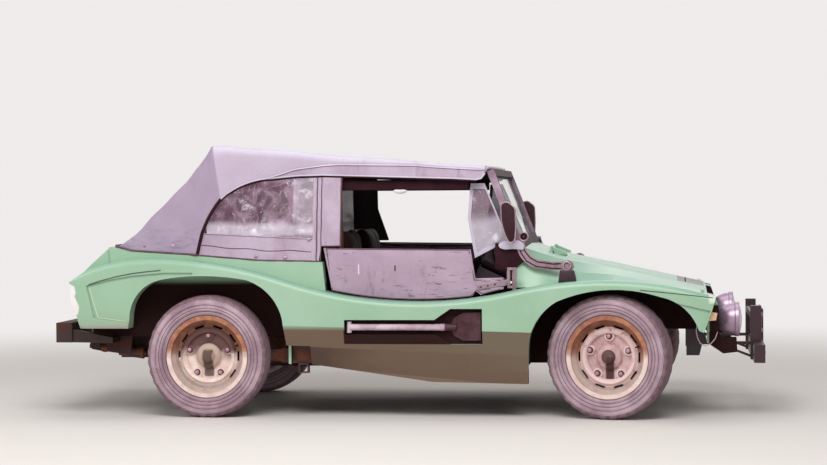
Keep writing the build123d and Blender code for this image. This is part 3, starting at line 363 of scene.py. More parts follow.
def wheelFinish(part, centre, outward):
    # rim and disc, or the drum with its cap: rust on the rim's upper half and pale paint below; on the rear
    # wheels the upper half of disc and drum is painted dark as shade
    front = centre.x > 0
    f = Finish(part + ("Front" if front else "Rear") + ("Left" if centre.y > 0 else "Right"))
    radius, along, axes = wheelWires(f, centre, outward)
    x, z = axes[::2]
    patch = f.place.noise(16.0, 6.0, 0.66, 0.3)
    fine = f.place.noise(140.0, 4.0, 0.7)
    upper = (z + (patch - 0.5) * 0.10).above(-0.03, 0.05)
    orange = (patch.above(0.4, 0.65)).colour(tone(150, 92, 76), tone(184, 128, 92))
    brown = (fine.above(0.4, 0.75)).colour(tone(88, 42, 38), tone(56, 24, 24))
    cream = patch.above(0.35, 0.7).colour(tone(236, 214, 204), tone(212, 184, 176))
    if part == "drum":
        if front:
            cap = radius.below(0.034, 0.037)
            streak = x.own("ABSOLUTE").below(0.016, 0.026) * z.below(-0.002, 0.012)
            streak = streak * radius.below(0.108, 0.118)
            base = patch.above(0.35, 0.7).colour(tone(206, 176, 174), tone(172, 132, 132))
            rusty = (cap * 0.85).most(streak * 0.95)
        else:
            # painted shade: the rear drum's upper half darkened as shaded by the rim
            base = (upper * 0.95).colour(cream, tone(72, 34, 30))
            dome = radius.below(0.062, 0.068) * along.above(0.012, 0.018)
            base = dome.colour(base, tone(184, 160, 146))
            streak = x.own("ABSOLUTE").below(0.020, 0.030) * z.below(0.024, 0.040) * radius.below(0.10, 0.11)
            rusty = streak * 0.85
        colour = rusty.colour(base, fine.above(0.4, 0.75).colour(tone(64, 26, 26), tone(34, 12, 14)))
    else:
        disc = radius.below(0.147, 0.151)
        rim = upper.colour(cream, orange)
        rim = (radius.below(0.180, 0.190) * 0.45).colour(rim, brown if front else tone(70, 34, 30))
        if front:
            plate = (patch.above(0.56, 0.68) * 0.7).colour(tone(222, 192, 190), tone(150, 96, 88))
        else:
            # painted shade: the rear disc's upper half darkened as shaded by the rim
            plate = (upper * 0.95).colour(cream, tone(80, 40, 36))
        colour = disc.colour(rim, plate)
        rusty = upper * (1 - disc)
    colour = (fine.above(0.56, 0.75) * 0.35).colour(colour, tone(116, 70, 62))
    f.link("Base Color", colour)
    f.link("Roughness", 0.5 + rusty * 0.3)
    f.bump(fine * (rusty * 0.8 + 0.2), 0.4, 0.0012)
    return f.material


def rubberFinish():
    # dusty rubber: thin dark rings of painted shade in the sidewall's grooves, darker tread, all by the piece's
    # own "ring" attribute
    f = Finish("dustyRubber", Roughness=0.85)
    ring = f.place.node("Attribute", {"attribute_name": "ring"}, {}, 2)
    dust = f.place.noise(5.0, 5.0, 0.6).above(0.3, 0.75)
    speck = f.place.noise(130.0, 4.0, 0.7).above(0.5, 0.7)
    colour = (dust * 0.85).colour(tone(140, 112, 124), tone(206, 182, 194))
    bands = (ring * 520).own("SINE").above(0.55, 1.0) * 0.30
    colour = bands.colour(colour, tone(96, 66, 80))
    # painted shade: thin dark rings where the sidewall's grooves and steps lie
    for r in (0.2105, 0.228, 0.245, 0.2625, 0.2885):
        line = ring.between(r - 0.0022, r - 0.0008, r + 0.0008, r + 0.0022)
        colour = (line * 0.85).colour(colour, tone(78, 46, 58))
    colour = (ring.above(0.2905, 0.2925) * 0.7).colour(colour, tone(98, 66, 76))
    f.link("Base Color", (speck * 0.22).colour(colour, tone(206, 190, 194)))
    f.bump(f.place.noise(260.0, 3.0, 0.6), 0.35, 0.0008)
    return f.material


materials = {
    "bodyPaint": bodyPaint(),
    "chassis": plainFinish("chassisPaint", (38, 10, 8), (58, 24, 22), 0.8, shine=0.08),
    "rust": rustFinish("rustySteel", (58, 36, 32), (124, 68, 48)),
    "bumperBlack": rustFinish("bumperBlack", (52, 26, 38), (98, 58, 62), 0.55, (0.52, 0.75)),
    "beamRust": rustFinish("beamRust", (40, 16, 14), (78, 34, 28), 0.8, (0.48, 0.7)),
    "canvas": canvasFinish("hoodCanvas", (158, 136, 156), (200, 188, 206), (104, 80, 92)),
    "doorCloth": canvasFinish("doorCloth", (164, 140, 160), (184, 164, 180), (104, 72, 84), 0.8),
    "seat": plainFinish("seatVinyl", (34, 14, 14), (46, 24, 26), 0.7, grain=300.0, shine=0.12),
    "plastic": plainFinish("blackPlastic", (50, 26, 32), (76, 48, 54), 0.6, grain=400.0, depth=0.0004,
                           shine=0.15),
    "hoop": rustFinish("hoopTube", (58, 30, 34), (112, 66, 58), 0.6),
    "chrome": plainFinish("dullChrome", (178, 152, 174), (112, 82, 106), 0.34, 0.6, grain=60.0,
                          strength=0.08),
    "lens": plainFinish("lampLens", (232, 228, 226), (214, 204, 198), 0.3, grain=120.0),
    "amber": plainFinish("amberLens", (226, 184, 150), (206, 150, 112), 0.3, grain=120.0),
    "handle": toolFinish(),
    "aluminium": rustFinish("bareBracket", (150, 124, 136), (104, 74, 74), 0.6, (0.5, 0.7)),
    "engine": plainFinish("engineMetal", (54, 36, 34), (92, 66, 60), 0.6, 0.4),
    "glass": glassFinish(),
    "clearVinyl": vinylFinish(),
    "hoodCloth": hoodFinish(),
    "binding": plainFinish("darkBinding", (40, 14, 20), (62, 32, 42), 0.7, grain=300.0, shine=0.12),
    "ruddy": rustFinish("ruddyBracket", (84, 34, 38), (120, 58, 54), 0.75, (0.4, 0.65)),
    "ring": plainFinish("dullRing", (178, 150, 164), (120, 92, 104), 0.35, 0.6, grain=200.0),
    "dome": plainFinish("domeLight", (236, 226, 236), (220, 208, 220), 0.35, grain=300.0),
    # rods for the body's creases: a pale one as painted highlight, a dark one as painted shade
    "creaseLight": plainFinish("paleBead", (206, 212, 186), (186, 196, 168), 0.5, grain=200.0),
    "groove": plainFinish("darkBead", (74, 92, 76), (52, 66, 56), 0.6, grain=200.0),
    "screen": screenFinish(),
    "doorEdge": plainFinish("doorBinding", (84, 52, 62), (120, 88, 98), 0.6, grain=300.0),
    "canvasPale": canvasFinish("hoodHem", (186, 174, 192), (216, 210, 226), (140, 118, 134), 0.3),
    "rubber": rubberFinish(),
}

# which CAD nodes wear which material
dress = {
    "bodyPaint": ["body_side_right", "body_side_left", "rear_body", "front_body", "bonnet_lid", "engine_lid",
                  "lamp_brows"],
    "chassis": ["floor_pan", "dashboard"],
    "screen": ["windscreen_frame"],
    "rust": ["front_axle", "rear_axle", "transaxle", "exhaust", "knuckle_left", "knuckle_right",
             "jack_tubes"],
    "beamRust": ["rear_bumper"],
    "bumperBlack": ["front_bumper", "blank_plate"],
    "engine": ["engine_block"],
    "hoop": ["roof_frame"],
    "glass": ["windscreen_glass"],
    "plastic": ["steering_column", "steering_wheel", "mirrors"],
    "chrome": ["headlamps"],
    "lens": ["tail_lamps"],
    "amber": ["indicators"],
    "handle": ["spades"],
    "aluminium": ["scuttle_arms", "door_posts"],
    "canvas": ["hood", "side_curtains"],
    "doorCloth": ["door_right", "door_left"],
    "seat": ["seats", "rear_bench"],
    "rubber": [n for n in nodes if n.startswith("tyre_")],
}


def setFinish(thing, finish):
    thing.data.materials.clear()
    thing.data.materials.append(materials[finish])


for finish, names in dress.items():
    for name in names:
        setFinish(nodes[name], finish)

corners = {}
for joint in frame["joints"]:
    if joint["name"].startswith("spin_"):
        corners[joint["name"][5:]] = (Vector(joint["pos_m"]), Vector(joint["axis"]).normalized())
for name, (centre, axis) in corners.items():
    for part, node in (("rim", "wheel_" + name), ("drum", "drum_" + name)):
        materials[node] = wheelFinish(part, centre, axis if centre.y > 0 else -axis)
        setFinish(nodes[node], node)
print("CAD nodes dressed")


# Shared helpers
sides = ((-1, "Right"), (1, "Left"))


def meshPiece(name, points, faces, finish):
    data = bpy.data.meshes.new(name)
    data.from_pydata([tuple(p) for p in points], [], faces)
    data.update()
    piece = bpy.data.objects.new(name, data)
    bpy.context.collection.objects.link(piece)
    setFinish(piece, finish)
    return piece


def onlySelect(piece):
    if bpy.context.object and bpy.context.object.mode != "OBJECT":
        bpy.ops.object.mode_set(mode="OBJECT")
    bpy.ops.object.select_all(action="DESELECT")
    piece.select_set(True)
    bpy.context.view_layer.objects.active = piece


def tidyMesh(piece, distance=0.00005):
    # merges doubles, drops what has collapsed and turns the faces outwards
    onlySelect(piece)
    bpy.ops.object.mode_set(mode="EDIT")
    bpy.ops.mesh.select_all(action="SELECT")
    bpy.ops.mesh.remove_doubles(threshold=distance)
    bpy.ops.mesh.dissolve_degenerate(threshold=distance)
    bpy.ops.mesh.normals_make_consistent(inside=False)
    bpy.ops.object.mode_set(mode="OBJECT")


def applied(piece, kind, **settings):
    onlySelect(piece)
    made = piece.modifiers.new(kind, kind)
    for key, value in settings.items():
        setattr(made, key, value)
    bpy.ops.object.modifier_apply(modifier=made.name)
    return piece


def smooth(piece, angle=40):
    onlySelect(piece)
    bpy.ops.object.shade_smooth_by_angle(angle=radians(angle))
    return piece


def ridden(piece, body, node=None):
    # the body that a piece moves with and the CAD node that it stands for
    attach(piece, body)
    if node:
        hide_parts(node)
    return piece


def surfaceArea(piece):
    return sum(face.area for face in piece.data.polygons)


def netPiece(name, rows, finish, closed=False):
    # a sheet through rows of points
    width = len(rows[0])
    points = [p for row in rows for p in row]
    faces = []
    for i in range(len(rows) - 1):
        for j in range(width - (0 if closed else 1)):
            k = (j + 1) % width
            faces.append((i * width + j, i * width + k, (i + 1) * width + k, (i + 1) * width + j))
    piece = meshPiece(name, points, faces, finish)
    tidyMesh(piece)
    return piece


def rodPiece(name, points, radius, finish, closed=False, resolution=4):
    # a round bar through points, made as a bevelled curve and then a mesh
    curve = bpy.data.curves.new(name, "CURVE")
    curve.dimensions = "3D"
    curve.bevel_depth = radius
    curve.bevel_resolution = resolution
    curve.use_fill_caps = True
    line = curve.splines.new("POLY")
    line.points.add(len(points) - 1)
    for spot, p in zip(line.points, points):
        spot.co = (*p, 1)
    line.use_cyclic_u = closed
    piece = bpy.data.objects.new(name, curve)
    bpy.context.collection.objects.link(piece)
    onlySelect(piece)
    bpy.ops.object.convert(target="MESH")
    piece = bpy.context.object
    setFinish(piece, finish)
    return smooth(piece, 50)


def joinPieces(name, pieces):
    bpy.ops.object.select_all(action="DESELECT")
    for piece in pieces:
        piece.select_set(True)
    bpy.context.view_layer.objects.active = pieces[0]
    bpy.ops.object.join()
    pieces[0].name = name
    return pieces[0]


def towards(piece, inside):
    # turns an open sheet so that its faces look away from the point inside
    data = piece.data
    total = sum((face.center - Vector(inside)).dot(face.normal) * face.area for face in data.polygons)
    if total < 0:
        data.flip_normals()


def thickened(piece, inside, thickness, angle=50):
    # gives an open sheet the thickness of its cloth, and returns the area that it had
    towards(piece, inside)
    area = surfaceArea(piece)
    applied(piece, "SOLIDIFY", thickness=thickness, offset=-1)
    smooth(piece, angle)
    return area


def turnedTo(facing, start=(0, 0, 1)):
    # the turn that brings the start direction to the facing one
    return Vector(start).rotation_difference(Vector(facing)).to_matrix().to_4x4()


def ringAngles(count):
    return [2 * pi * i / count for i in range(count)]


def across(points, y):
    # places (x, y, z) from points (x, z)
    return [(x, y, z) for x, z in points]


def arcPoints(a, b, c, count):
    # points on the arc through three points of a plane
    ax, ay, bx, by, cx, cy = *a, *b, *c
    d = 2 * (ax * (by - cy) + bx * (cy - ay) + cx * (ay - by))
    ux = ((ax**2 + ay**2) * (by - cy) + (bx**2 + by**2) * (cy - ay) + (cx**2 + cy**2) * (ay - by)) / d
    uy = ((ax**2 + ay**2) * (cx - bx) + (bx**2 + by**2) * (ax - cx) + (cx**2 + cy**2) * (bx - ax)) / d
    radius = hypot(ax - ux, ay - uy)
    start, middle, end = (atan2(q - uy, p - ux) for p, q in (a, b, c))
    turn = (end - start) % (2 * pi)
    if (middle - start) % (2 * pi) > turn:
        turn -= 2 * pi
    return [(ux + radius * cos(start + turn * i / count), uy + radius * sin(start + turn * i / count))
            for i in range(count + 1)]


def lineAt(points, x):
    # the height of a line of points at x
    for (xa, za), (xb, zb) in zip(points, points[1:]):
        if xa <= x <= xb:
            return za + (zb - za) * (x - xa) / max(xb - xa, 1e-9)
    return points[0][1] if x < points[0][0] else points[-1][1]


def moved(points, distance):
    # the line of points moved sideways, to the left of its run
    out = []
    for i, (x, z) in enumerate(points):
        xa, za = points[max(i - 1, 0)]
        xb, zb = points[min(i + 1, len(points) - 1)]
        length = hypot(xb - xa, zb - za)
        out.append((x - (zb - za) / length * distance, z + (xb - xa) / length * distance))
    return out


def stepsBetween(marks, step):
    # places from the first mark to the last, through each mark, a step apart at most
    out = [marks[0]]
    for a, b in zip(marks, marks[1:]):
        count = max(1, ceil((b - a) / step))
        out += [a + (b - a) * (i + 1) / count for i in range(count)]
    return out


def rumple(point, size, scale, stretch=(1, 1, 1), shift=0):
    # a soft random height at a place, for folds and puckers
    p = Vector((point[0] * stretch[0], point[1] * stretch[1], point[2] * stretch[2])) * scale
    return noise.noise(p + Vector((shift, 3.7 * shift, 1.3))) * size


# Fabric top
hoodShape = {
    "peak": (-1.000, 1.380), "front": (0.404, 1.262), "tail": (-1.507, 0.862),
    "halfRoof": 0.630, "lean": 0.145, "edgeRound": 0.042, "tailHalf": 0.612,
    "coaming": [(-1.507, 0.862), (-1.402, 0.836), (-1.045, 0.815), (-0.727, 0.789), (-0.412, 0.782)],
    "bows": [-1.0, -0.62, -0.08, 0.404], "sag": 0.004, "rearSag": 0.066, "cloth": 0.0035, "kneeX": -1.050,
    "inside": (-0.3, 0, 0.9), "step": 0.014, "columns": 64, "softening": 5, "bowBlend": 0.02, "edgeSteps": 8,
}
seamArcs = [((-1.031, 0.921), (-0.986, 1.027), (-0.923, 1.115)),
            ((-0.923, 1.115), (-0.834, 1.168), (-0.732, 1.199))]
seamLine = [(-1.050, 0.826)] + arcPoints(*seamArcs[0], 24) + arcPoints(*seamArcs[1], 20)[1:]
seamLine += [(-0.541, 1.216), (-0.414, 1.219), (0.250, 1.197), (0.360, 1.190), (0.385, 1.196), (0.404, 1.222)]


def roofHeight(x):
    (xa, za), (xb, zb) = hoodShape["peak"], hoodShape["front"]
    return za + (x - xa) * (zb - za) / (xb - xa)


def topHeight(x):
    # along the middle: the roof, the rear panel and the rounded bow between them, with the cloth sagging
    (xt, zt), (xp, zp) = hoodShape["tail"], hoodShape["peak"]
    rear = zt + (x - xt) * (zp - zt) / (xp - xt)
    roof = roofHeight(x)
    blend = hoodShape["bowBlend"]
    share = max(blend - abs(rear - roof), 0) / blend
    height = min(rear, roof) - share * share * blend / 4
    for a, b in zip(hoodShape["bows"], hoodShape["bows"][1:]):
        if a < x < b:
            height -= hoodShape["sag"] * sin(pi * (x - a) / (b - a)) ** 2
    along = (x - xt) / (xp - xt)
    if 0 < along < 1:
        fuller = 1 - 0.30 * max(0.0, 1 - ((along - 0.45) / 0.3) ** 2)
        height -= hoodShape["rearSag"] * sin(pi * along) ** 0.6 * fuller
    return height


def hoodHalf(x, z):
    return hoodShape["halfRoof"] + hoodShape["lean"] * (roofHeight(x) - z)


def cornerHeight(x, y):
    # the drawn-in rear corner: the plane through the peak, the seam's foot and the tail
    peak = Vector((hoodShape["peak"][0], hoodShape["halfRoof"] - 0.014, hoodShape["peak"][1]))
    kneeX, kneeZ = seamLine[0]
    knee = Vector((kneeX, hoodHalf(kneeX, kneeZ), kneeZ))
    tail = Vector((hoodShape["tail"][0], hoodShape["tailHalf"], hoodShape["tail"][1]))
    n = (tail - peak).cross(knee - peak)
    return peak.z - (n.x * (x - peak.x) + n.y * (y - peak.y)) / n.z


def foldedSection(x, low):
    # half of the cloth's cross-section at x, from the middle down to the height low
    top = topHeight(x)
    roof = roofHeight(x)
    points = [(0.0, top)]
    slope = cornerHeight(x, 1) - cornerHeight(x, 0)
    base = cornerHeight(x, 0)
    cornerY = (top - base) / slope
    if x < hoodShape["peak"][0] and cornerY < hoodHalf(x, top):
        points.append((cornerY, top))
        meetY = (roof + hoodShape["halfRoof"] / hoodShape["lean"] - base) / (slope + 1 / hoodShape["lean"])
        meetZ = base + slope * meetY
        if meetZ > low:
            points += [(meetY, meetZ), (hoodHalf(x, low), low)]
        else:
            points.append(((low - base) / slope, low))
    else:
        points += [(hoodHalf(x, top), top), (hoodHalf(x, low), low)]
    rounded = [points[0]]
    for a, b, c in zip(points, points[1:], points[2:]):
        before, after = Vector(a) - Vector(b), Vector(c) - Vector(b)
        reach = min(hoodShape["edgeRound"], before.length * 0.48, after.length * 0.48)
        start, end = Vector(b) + before.normalized() * reach, Vector(b) + after.normalized() * reach
        for i in range(hoodShape["edgeSteps"] + 1):
            t = i / hoodShape["edgeSteps"]
            rounded.append(tuple(start * (1 - t) ** 2 + Vector(b) * 2 * t * (1 - t) + end * t * t))
    rounded.append(points[-1])
    return rounded


def evenly(points, count):
    # the line of points laid out again in even steps
    lengths = [0.0]
    for a, b in zip(points, points[1:]):
        lengths.append(lengths[-1] + hypot(b[0] - a[0], b[1] - a[1]))
    out, k = [], 0
    for i in range(count + 1):
        want = lengths[-1] * i / count
        while k < len(points) - 2 and lengths[k + 1] < want:
            k += 1
        t = (want - lengths[k]) / max(lengths[k + 1] - lengths[k], 1e-9)
        out.append((points[k][0] + (points[k + 1][0] - points[k][0]) * t,
                    points[k][1] + (points[k + 1][1] - points[k][1]) * t))
    return out


def clothRipple(x, y, z):
    # how far the cloth stands out at a place: long soft waves, drawn folds at the rear corners
    height = rumple((x, y, z), 0.0035, 2.6) + rumple((x, y, z), 0.0028, 8.0, (1, 1, 1), 2)
    rear = max(0.0, min(1.0, (-0.95 - x) / 0.35))
    along = (z - 0.86) * 0.7 + (x + 1.5) * 0.4
    height += rear * 0.0035 * sin(along * 46 + abs(y) * 20) * max(0.0, min(1.0, (abs(y) - 0.25) / 0.3))
    lower = max(0.0, min(1.0, (1.22 - z) / 0.1)) * (1 - rear)
    height += 0.003 * sin(x * 52 + rumple((x, y, z), 4, 3)) * lower
    return height


def hoodFoot(x):
    return lineAt(hoodShape["coaming"] if x < hoodShape["kneeX"] else seamLine, x)


def hoodRow(x):
    # the cloth's line across the car at x, from one lower edge to the other
    half = evenly(foldedSection(x, hoodFoot(x)), hoodShape["columns"])
    row = [(x, -y, z) for y, z in reversed(half[1:])] + [(x, y, z) for y, z in half]
    out = []
    for i, p in enumerate(row):
        a, b = row[max(i - 1, 0)], row[min(i + 1, len(row) - 1)]
        tangent = Vector((0, b[1] - a[1], b[2] - a[2])).normalized()
        normal = Vector((0, -tangent.z, tangent.y))
        edge = min(1.0, min(i, len(row) - 1 - i) / 6)
        out.append(Vector(p) + normal * (clothRipple(*p) * (0.3 + 0.7 * edge) - 0.003))
    return out


stations = stepsBetween([-1.500, -1.050, -1.031, -0.923, -0.732, 0.404], hoodShape["step"])
stations = sorted(stations + [-1.046, -1.040, -1.036, -1.02, -1.01, -1.0])
hoodTop = netPiece("hoodTop", [hoodRow(x) for x in stations], "hoodCloth")
# the fold over the rear bow is softened
bm = bmesh.new()
bm.from_mesh(hoodTop.data)
bow = [v for v in bm.verts if -1.07 < v.co.x < -0.93 and v.co.z > 1.0 and not v.is_boundary]
for k in range(hoodShape["softening"]):
    bmesh.ops.smooth_vert(bm, verts=bow, factor=0.5, use_axis_x=True, use_axis_y=True, use_axis_z=True)
bm.to_mesh(hoodTop.data)
bm.free()
thickened(hoodTop, hoodShape["inside"], hoodShape["cloth"])
ridden(hoodTop, "root", "hood")
print("top made")


# Valance: the doubled band above the side seam, its ridge in pale cloth as a painted highlight, and the dark
# binding on the seam with a line of painted shade under it
bandShape = {"start": -0.71, "end": 0.402, "lift": 0.005, "cloth": 0.0025, "columns": 7,
             "rise": [(-0.71, 0.004), (-0.62, 0.025), (-0.573, 0.040), (-0.445, 0.055), (-0.34, 0.067),
                      (0.404, 0.080)]}


def sidePoint(x, z, side, lift=0.0):
    # a place on the top's side cloth, which rounds over into the roof
    roof = topHeight(x)
    over = max(0.0, z - (roof - 0.036)) / 0.036
    y = hoodHalf(x, z) - 0.012 * min(over, 1) ** 2 + clothRipple(x, side * 0.65, z) * 0.5 - 0.002 + lift
    return Vector((x, side * y, z))


for side, tag in sides:
    rows = []
    for x in stepsBetween([bandShape["start"], bandShape["end"]], hoodShape["step"]):
        low = lineAt(seamLine, x) - 0.004
        high = min(low + lineAt(bandShape["rise"], x), topHeight(x) - 0.016)
        lifts = [0.002] + [bandShape["lift"]] * 5 + [bandShape["lift"] + 0.002, 0.003]
        rows.append([sidePoint(x, low + (high - low) * i / bandShape["columns"], side, lift)
                     for i, lift in enumerate(lifts)])
    band = netPiece("valance" + tag, rows, "canvas")
    bandArea = thickened(band, hoodShape["inside"], bandShape["cloth"])
    # painted highlight: the ridge in pale cloth
    ridge = rodPiece("valanceRidge" + tag, [row[6] for row in rows], 0.0042, "canvasPale")
    arc = [(x, z) for x, z in seamLine if x < -0.93]
    under = [(x, lineAt(seamLine, x) - 0.007) for x in stepsBetween([-0.94, 0.36], 0.02)]
    edge = [(x, lineAt(seamLine, x)) for x in stepsBetween([-0.95, 0.36, 0.385, 0.403], 0.02)]
    seams = [rodPiece(name + tag, [sidePoint(x, z, side, lift) for x, z in run], radius, finish)
             for name, run, lift, radius, finish in (("arcBinding", arc, 0.003, 0.0085, "binding"),
                                                     ("seamShade", under, 0.001, 0.0045, "binding"),
                                                     ("seamPiping", edge, 0.005, 0.0045, "canvasPale"))]
    for piece in [band, ridge] + seams:
        ridden(piece, "root")

# Side curtains with their clear windows
windowShape = {"inset": 0.009, "front": -0.463, "low": [(-1.10, 0.934), (-0.463, 0.901)], "rows": 30,
               "vinyl": 0.0012}
curtainShape = {"end": -0.320, "cloth": 0.003, "step": 0.012, "inside": (-0.7, 0, 1.0), "fold": -0.565}
paneTop = sorted(moved(seamLine, -windowShape["inset"]))
paneRear = next(x for x, z in paneTop if z > lineAt(windowShape["low"], x))


def curtainPoint(x, z, side, lift=0.0):
    out = clothRipple(x, side * 0.65, z) * 0.6 - 0.002 + lift
    return Vector((x, side * (hoodHalf(x, z) + out), z + out * 0.14))


def curtainFoot(x):
    foot = lineAt(hoodShape["coaming"], x) + 0.001
    return foot if x < -0.42 else max(foot, 0.862)


def curtainColumn(x, side, part):
    foot, head = curtainFoot(x), lineAt(seamLine, x)
    low, high = lineAt(windowShape["low"], x), lineAt(paneTop, x)
    if x <= paneRear or high <= low:
        low = high = foot + (head - foot) * 0.8
    if part == "pane":
        rows = windowShape["rows"]
        out = []
        for i, z in enumerate([low + (high - low) * i / rows for i in range(rows + 1)]):
            crinkle = rumple((x, 0, z), 0.010, 6.0, (1.6, 1, 0.7), side)
            crinkle += rumple((x, 0, z), 0.004, 17, (1, 1, 1.4), 5)
            crinkle += rumple((x, 0, z), 0.0022, 38, (1.3, 1, 0.8), 7)
            past = x - curtainShape["fold"]
            crinkle += max(0, past) * 0.08 * sin(z * 70 + rumple((x, 0, z), 4, 9))
            crinkle += 0.006 * max(0, 1 - abs(past) / 0.006)
            edge = min(1.0, min(i, rows - i) / 4, (x - paneRear) / 0.03, (windowShape["front"] - x) / 0.03)
            out.append(curtainPoint(x, z, side, crinkle * max(edge, 0)))
        return out
    if part == "below":
        heights = [foot + (low - foot) * i / 12 for i in range(13)]
    elif part == "above":
        heights = [high + (head - high) * i / 4 for i in range(5)]
    else:
        heights = [foot + (head - foot) * i / 44 for i in range(45)]
    return [curtainPoint(x, z, side) for z in heights]


rearSteps = stepsBetween([-1.0495, -1.031], 0.004)
archSteps = stepsBetween([-1.031, -0.923, -0.732, windowShape["front"]], curtainShape["step"])
frontSteps = stepsBetween([windowShape["front"], -0.42, curtainShape["end"]], curtainShape["step"])
whole = sorted(set(rearSteps + archSteps))
paneSteps = [x for x in whole if x > paneRear]
for side, tag in sides:
    parts = [netPiece("part", [curtainColumn(x, side, part) for x in whole], "canvas")
             for part in ("below", "above")]
    parts.append(netPiece("part", [curtainColumn(x, side, "front") for x in frontSteps], "canvas"))
    curtain = joinPieces("sideCurtain" + tag, parts)
    tidyMesh(curtain)
    curtainArea = thickened(curtain, curtainShape["inside"], curtainShape["cloth"])
    pane = netPiece("clearWindow" + tag, [curtainColumn(x, side, "pane") for x in paneSteps], "clearVinyl")
    paneArea = thickened(pane, curtainShape["inside"], windowShape["vinyl"], 60)
    ridden(curtain, "root", "side_curtains")
    ridden(pane, "root", "curtain_panes")


# Seams, hems, welts, flaps and snaps of the side cloth
flapShape = {"ends": (-0.412, -0.322), "low": 0.862, "rows": 30, "cloth": 0.0025}


def curtainRun(points, side, lift=0.0025):
    return [curtainPoint(x, z, side, lift) for x, z in points]


def onCloth(x, z, side, lift):
    return (sidePoint if x < hoodShape["kneeX"] else curtainPoint)(x, z, side, lift)


def rearFootPoint(x, side, lift):
    # on the lower edge of the rear panel and its corner
    section = foldedSection(x, lineAt(hoodShape["coaming"], x) + 0.004)
    y, z = section[-1]
    return Vector((x, side * (y + lift), z))


def snapPiece(name, spots, material, radius=0.009):
    made = []
    for place, facing in spots:
        bpy.ops.mesh.primitive_uv_sphere_add(segments=14, ring_count=8, radius=radius)
        dome = bpy.context.object
        for v in dome.data.vertices:
            v.co.z = max(v.co.z, -radius * 0.1) * 0.45
            if hypot(v.co.x, v.co.y) < radius * 0.35:
                v.co.z -= radius * 0.12
        dome.data.transform(Matrix.Translation(place) @ turnedTo(facing))
        setFinish(dome, material)
        made.append(dome)
    return smooth(joinPieces(name, made), 60)


for side, tag in sides:
    foot = [(x, curtainFoot(x) + 0.002) for x in stepsBetween([-1.048, -0.424], 0.03)]
    lowRun = [(x, lineAt(windowShape["low"], x) - 0.003) for x in stepsBetween([-1.02, -0.466], 0.03)]
    bandRun = [(x, curtainFoot(x) + 0.052 + 0.003 * sin(x * 30)) for x in stepsBetween([-1.03, -0.47], 0.03)]
    seams = [
        rodPiece("curtainHem" + tag, curtainRun(foot, side), 0.0038, "doorEdge"),
        rodPiece("curtainFold" + tag, curtainRun(lowRun, side, 0.001), 0.0030, "canvas"),
        rodPiece("curtainBand" + tag, curtainRun(bandRun, side, 0.0), 0.0022, "doorEdge"),
    ]
    for k, (x, radius) in enumerate(((-0.458, 0.0016), (-0.443, 0.0030), (-0.421, 0.0024))):
        upright = stepsBetween([curtainFoot(x) + 0.004, lineAt(seamLine, x) - 0.01], 0.02)
        upright = [(x + 0.0008 * sin(z * 60), z) for z in upright]
        seams.append(rodPiece("curtainWelt" + tag + str(k), curtainRun(upright, side, 0.0005), radius,
                              "doorEdge" if k else "canvasPale"))
    rearLip = [rearFootPoint(x, side, 0.004) for x in stepsBetween([-1.498, -1.052], 0.02)]
    seams.append(rodPiece("rearLip" + tag, rearLip, 0.0062, "doorEdge"))
    # the flap behind the door opening, which hangs slanted on the left
    flapRows = []
    start, end = flapShape["ends"]
    for x in stepsBetween([start, end], 0.01):
        low, high = flapShape["low"], lineAt(seamLine, x) - 0.012
        heights = [low + (high - low) * i / flapShape["rows"] for i in range(flapShape["rows"] + 1)]
        share = [1 if side < 0 else 0.52 + (1.157 - z) / 0.328 * 1.18 for z in heights]
        flapRows.append([
            curtainPoint(start + (x - start) * s, z, side, 0.0035 + 0.0025 * sin(z * 30 + x * 40))
            for z, s in zip(heights, share)])
    flap = netPiece("curtainFlap" + tag, flapRows, "canvas")
    flapArea = thickened(flap, curtainShape["inside"], flapShape["cloth"])
    flapEdge = rodPiece("flapEdge" + tag, [row[0] for row in flapRows], 0.0026, "doorEdge")
    batten = rodPiece("flapBatten" + tag, [p + Vector((0.002, 0, 0)) for p in flapRows[-1]], 0.0045, "hoop")
    snaps = snapPiece("snaps" + tag, [(onCloth(x, z, side, 0.004), (0, side, 0.14)) for x, z in (
        (-0.482, 0.895), (-1.325, 0.868), (-1.178, 0.866), (-0.75, 0.812), (-0.60, 0.806))], "chrome")
    for piece in seams + [flap, flapEdge, batten, snaps]:
        ridden(piece, "root")
rearHem = [Vector((-1.5, y, 0.866)) for y in stepsBetween([-0.60, 0.60], 0.05)]
ridden(rodPiece("rearLipMiddle", rearHem, 0.0062, "doorEdge"), "root")
frontEdge = [Vector((0.398, y, 1.252 - 0.010 * (abs(y) / 0.6) ** 6))
             for y in stepsBetween([-0.612, 0.612], 0.03)]
ridden(rodPiece("frontRoll", frontEdge, 0.013, "canvasPale"), "root")
print("side curtains made")


# Doors: stretched cloth over a steel rod frame, on one strap hinge
doorShape = {
    "plane": 0.684, "thick": 0.016, "rearTop": (-0.407, 0.852), "frontTop": (0.335, 0.842),
    "step": (0.358, 0.698), "nose": 0.500, "rod": 0.007, "hinge": (0.524, 0.702),
    "strap": (0.446, 0.7015, 0.679), "cloth": 0.003, "rows": 24,
}


def doorFoot():
    # the lower edge of the door, from its own solid
    places = sorted({(round(v.co.x, 4), round(v.co.z, 4)) for v in nodes["door_right"].data.vertices
                      if abs(v.co.y) > 0.699 and v.co.z < 0.70 and v.co.x < 0.501})
    out = []
    for x, z in places:
        if out and x - out[-1][0] < 0.004:
            out[-1] = (out[-1][0], min(z, out[-1][1]))
        elif z < 0.66 or x > 0.36:
            out.append((x, z))
    return out


def doorTop(x):
    rear, front, step = (doorShape[key] for key in ("rearTop", "frontTop", "step"))
    return lineAt([rear, front, step, (doorShape["nose"], step[1] + 0.004)], x)


footLine = [p for p in doorFoot() if p[1] < 0.68]
rearFoot = footLine[0]
doorMarks = [doorShape["rearTop"][0] + 0.001, rearFoot[0], doorShape["frontTop"][0], doorShape["step"][0],
             0.499]


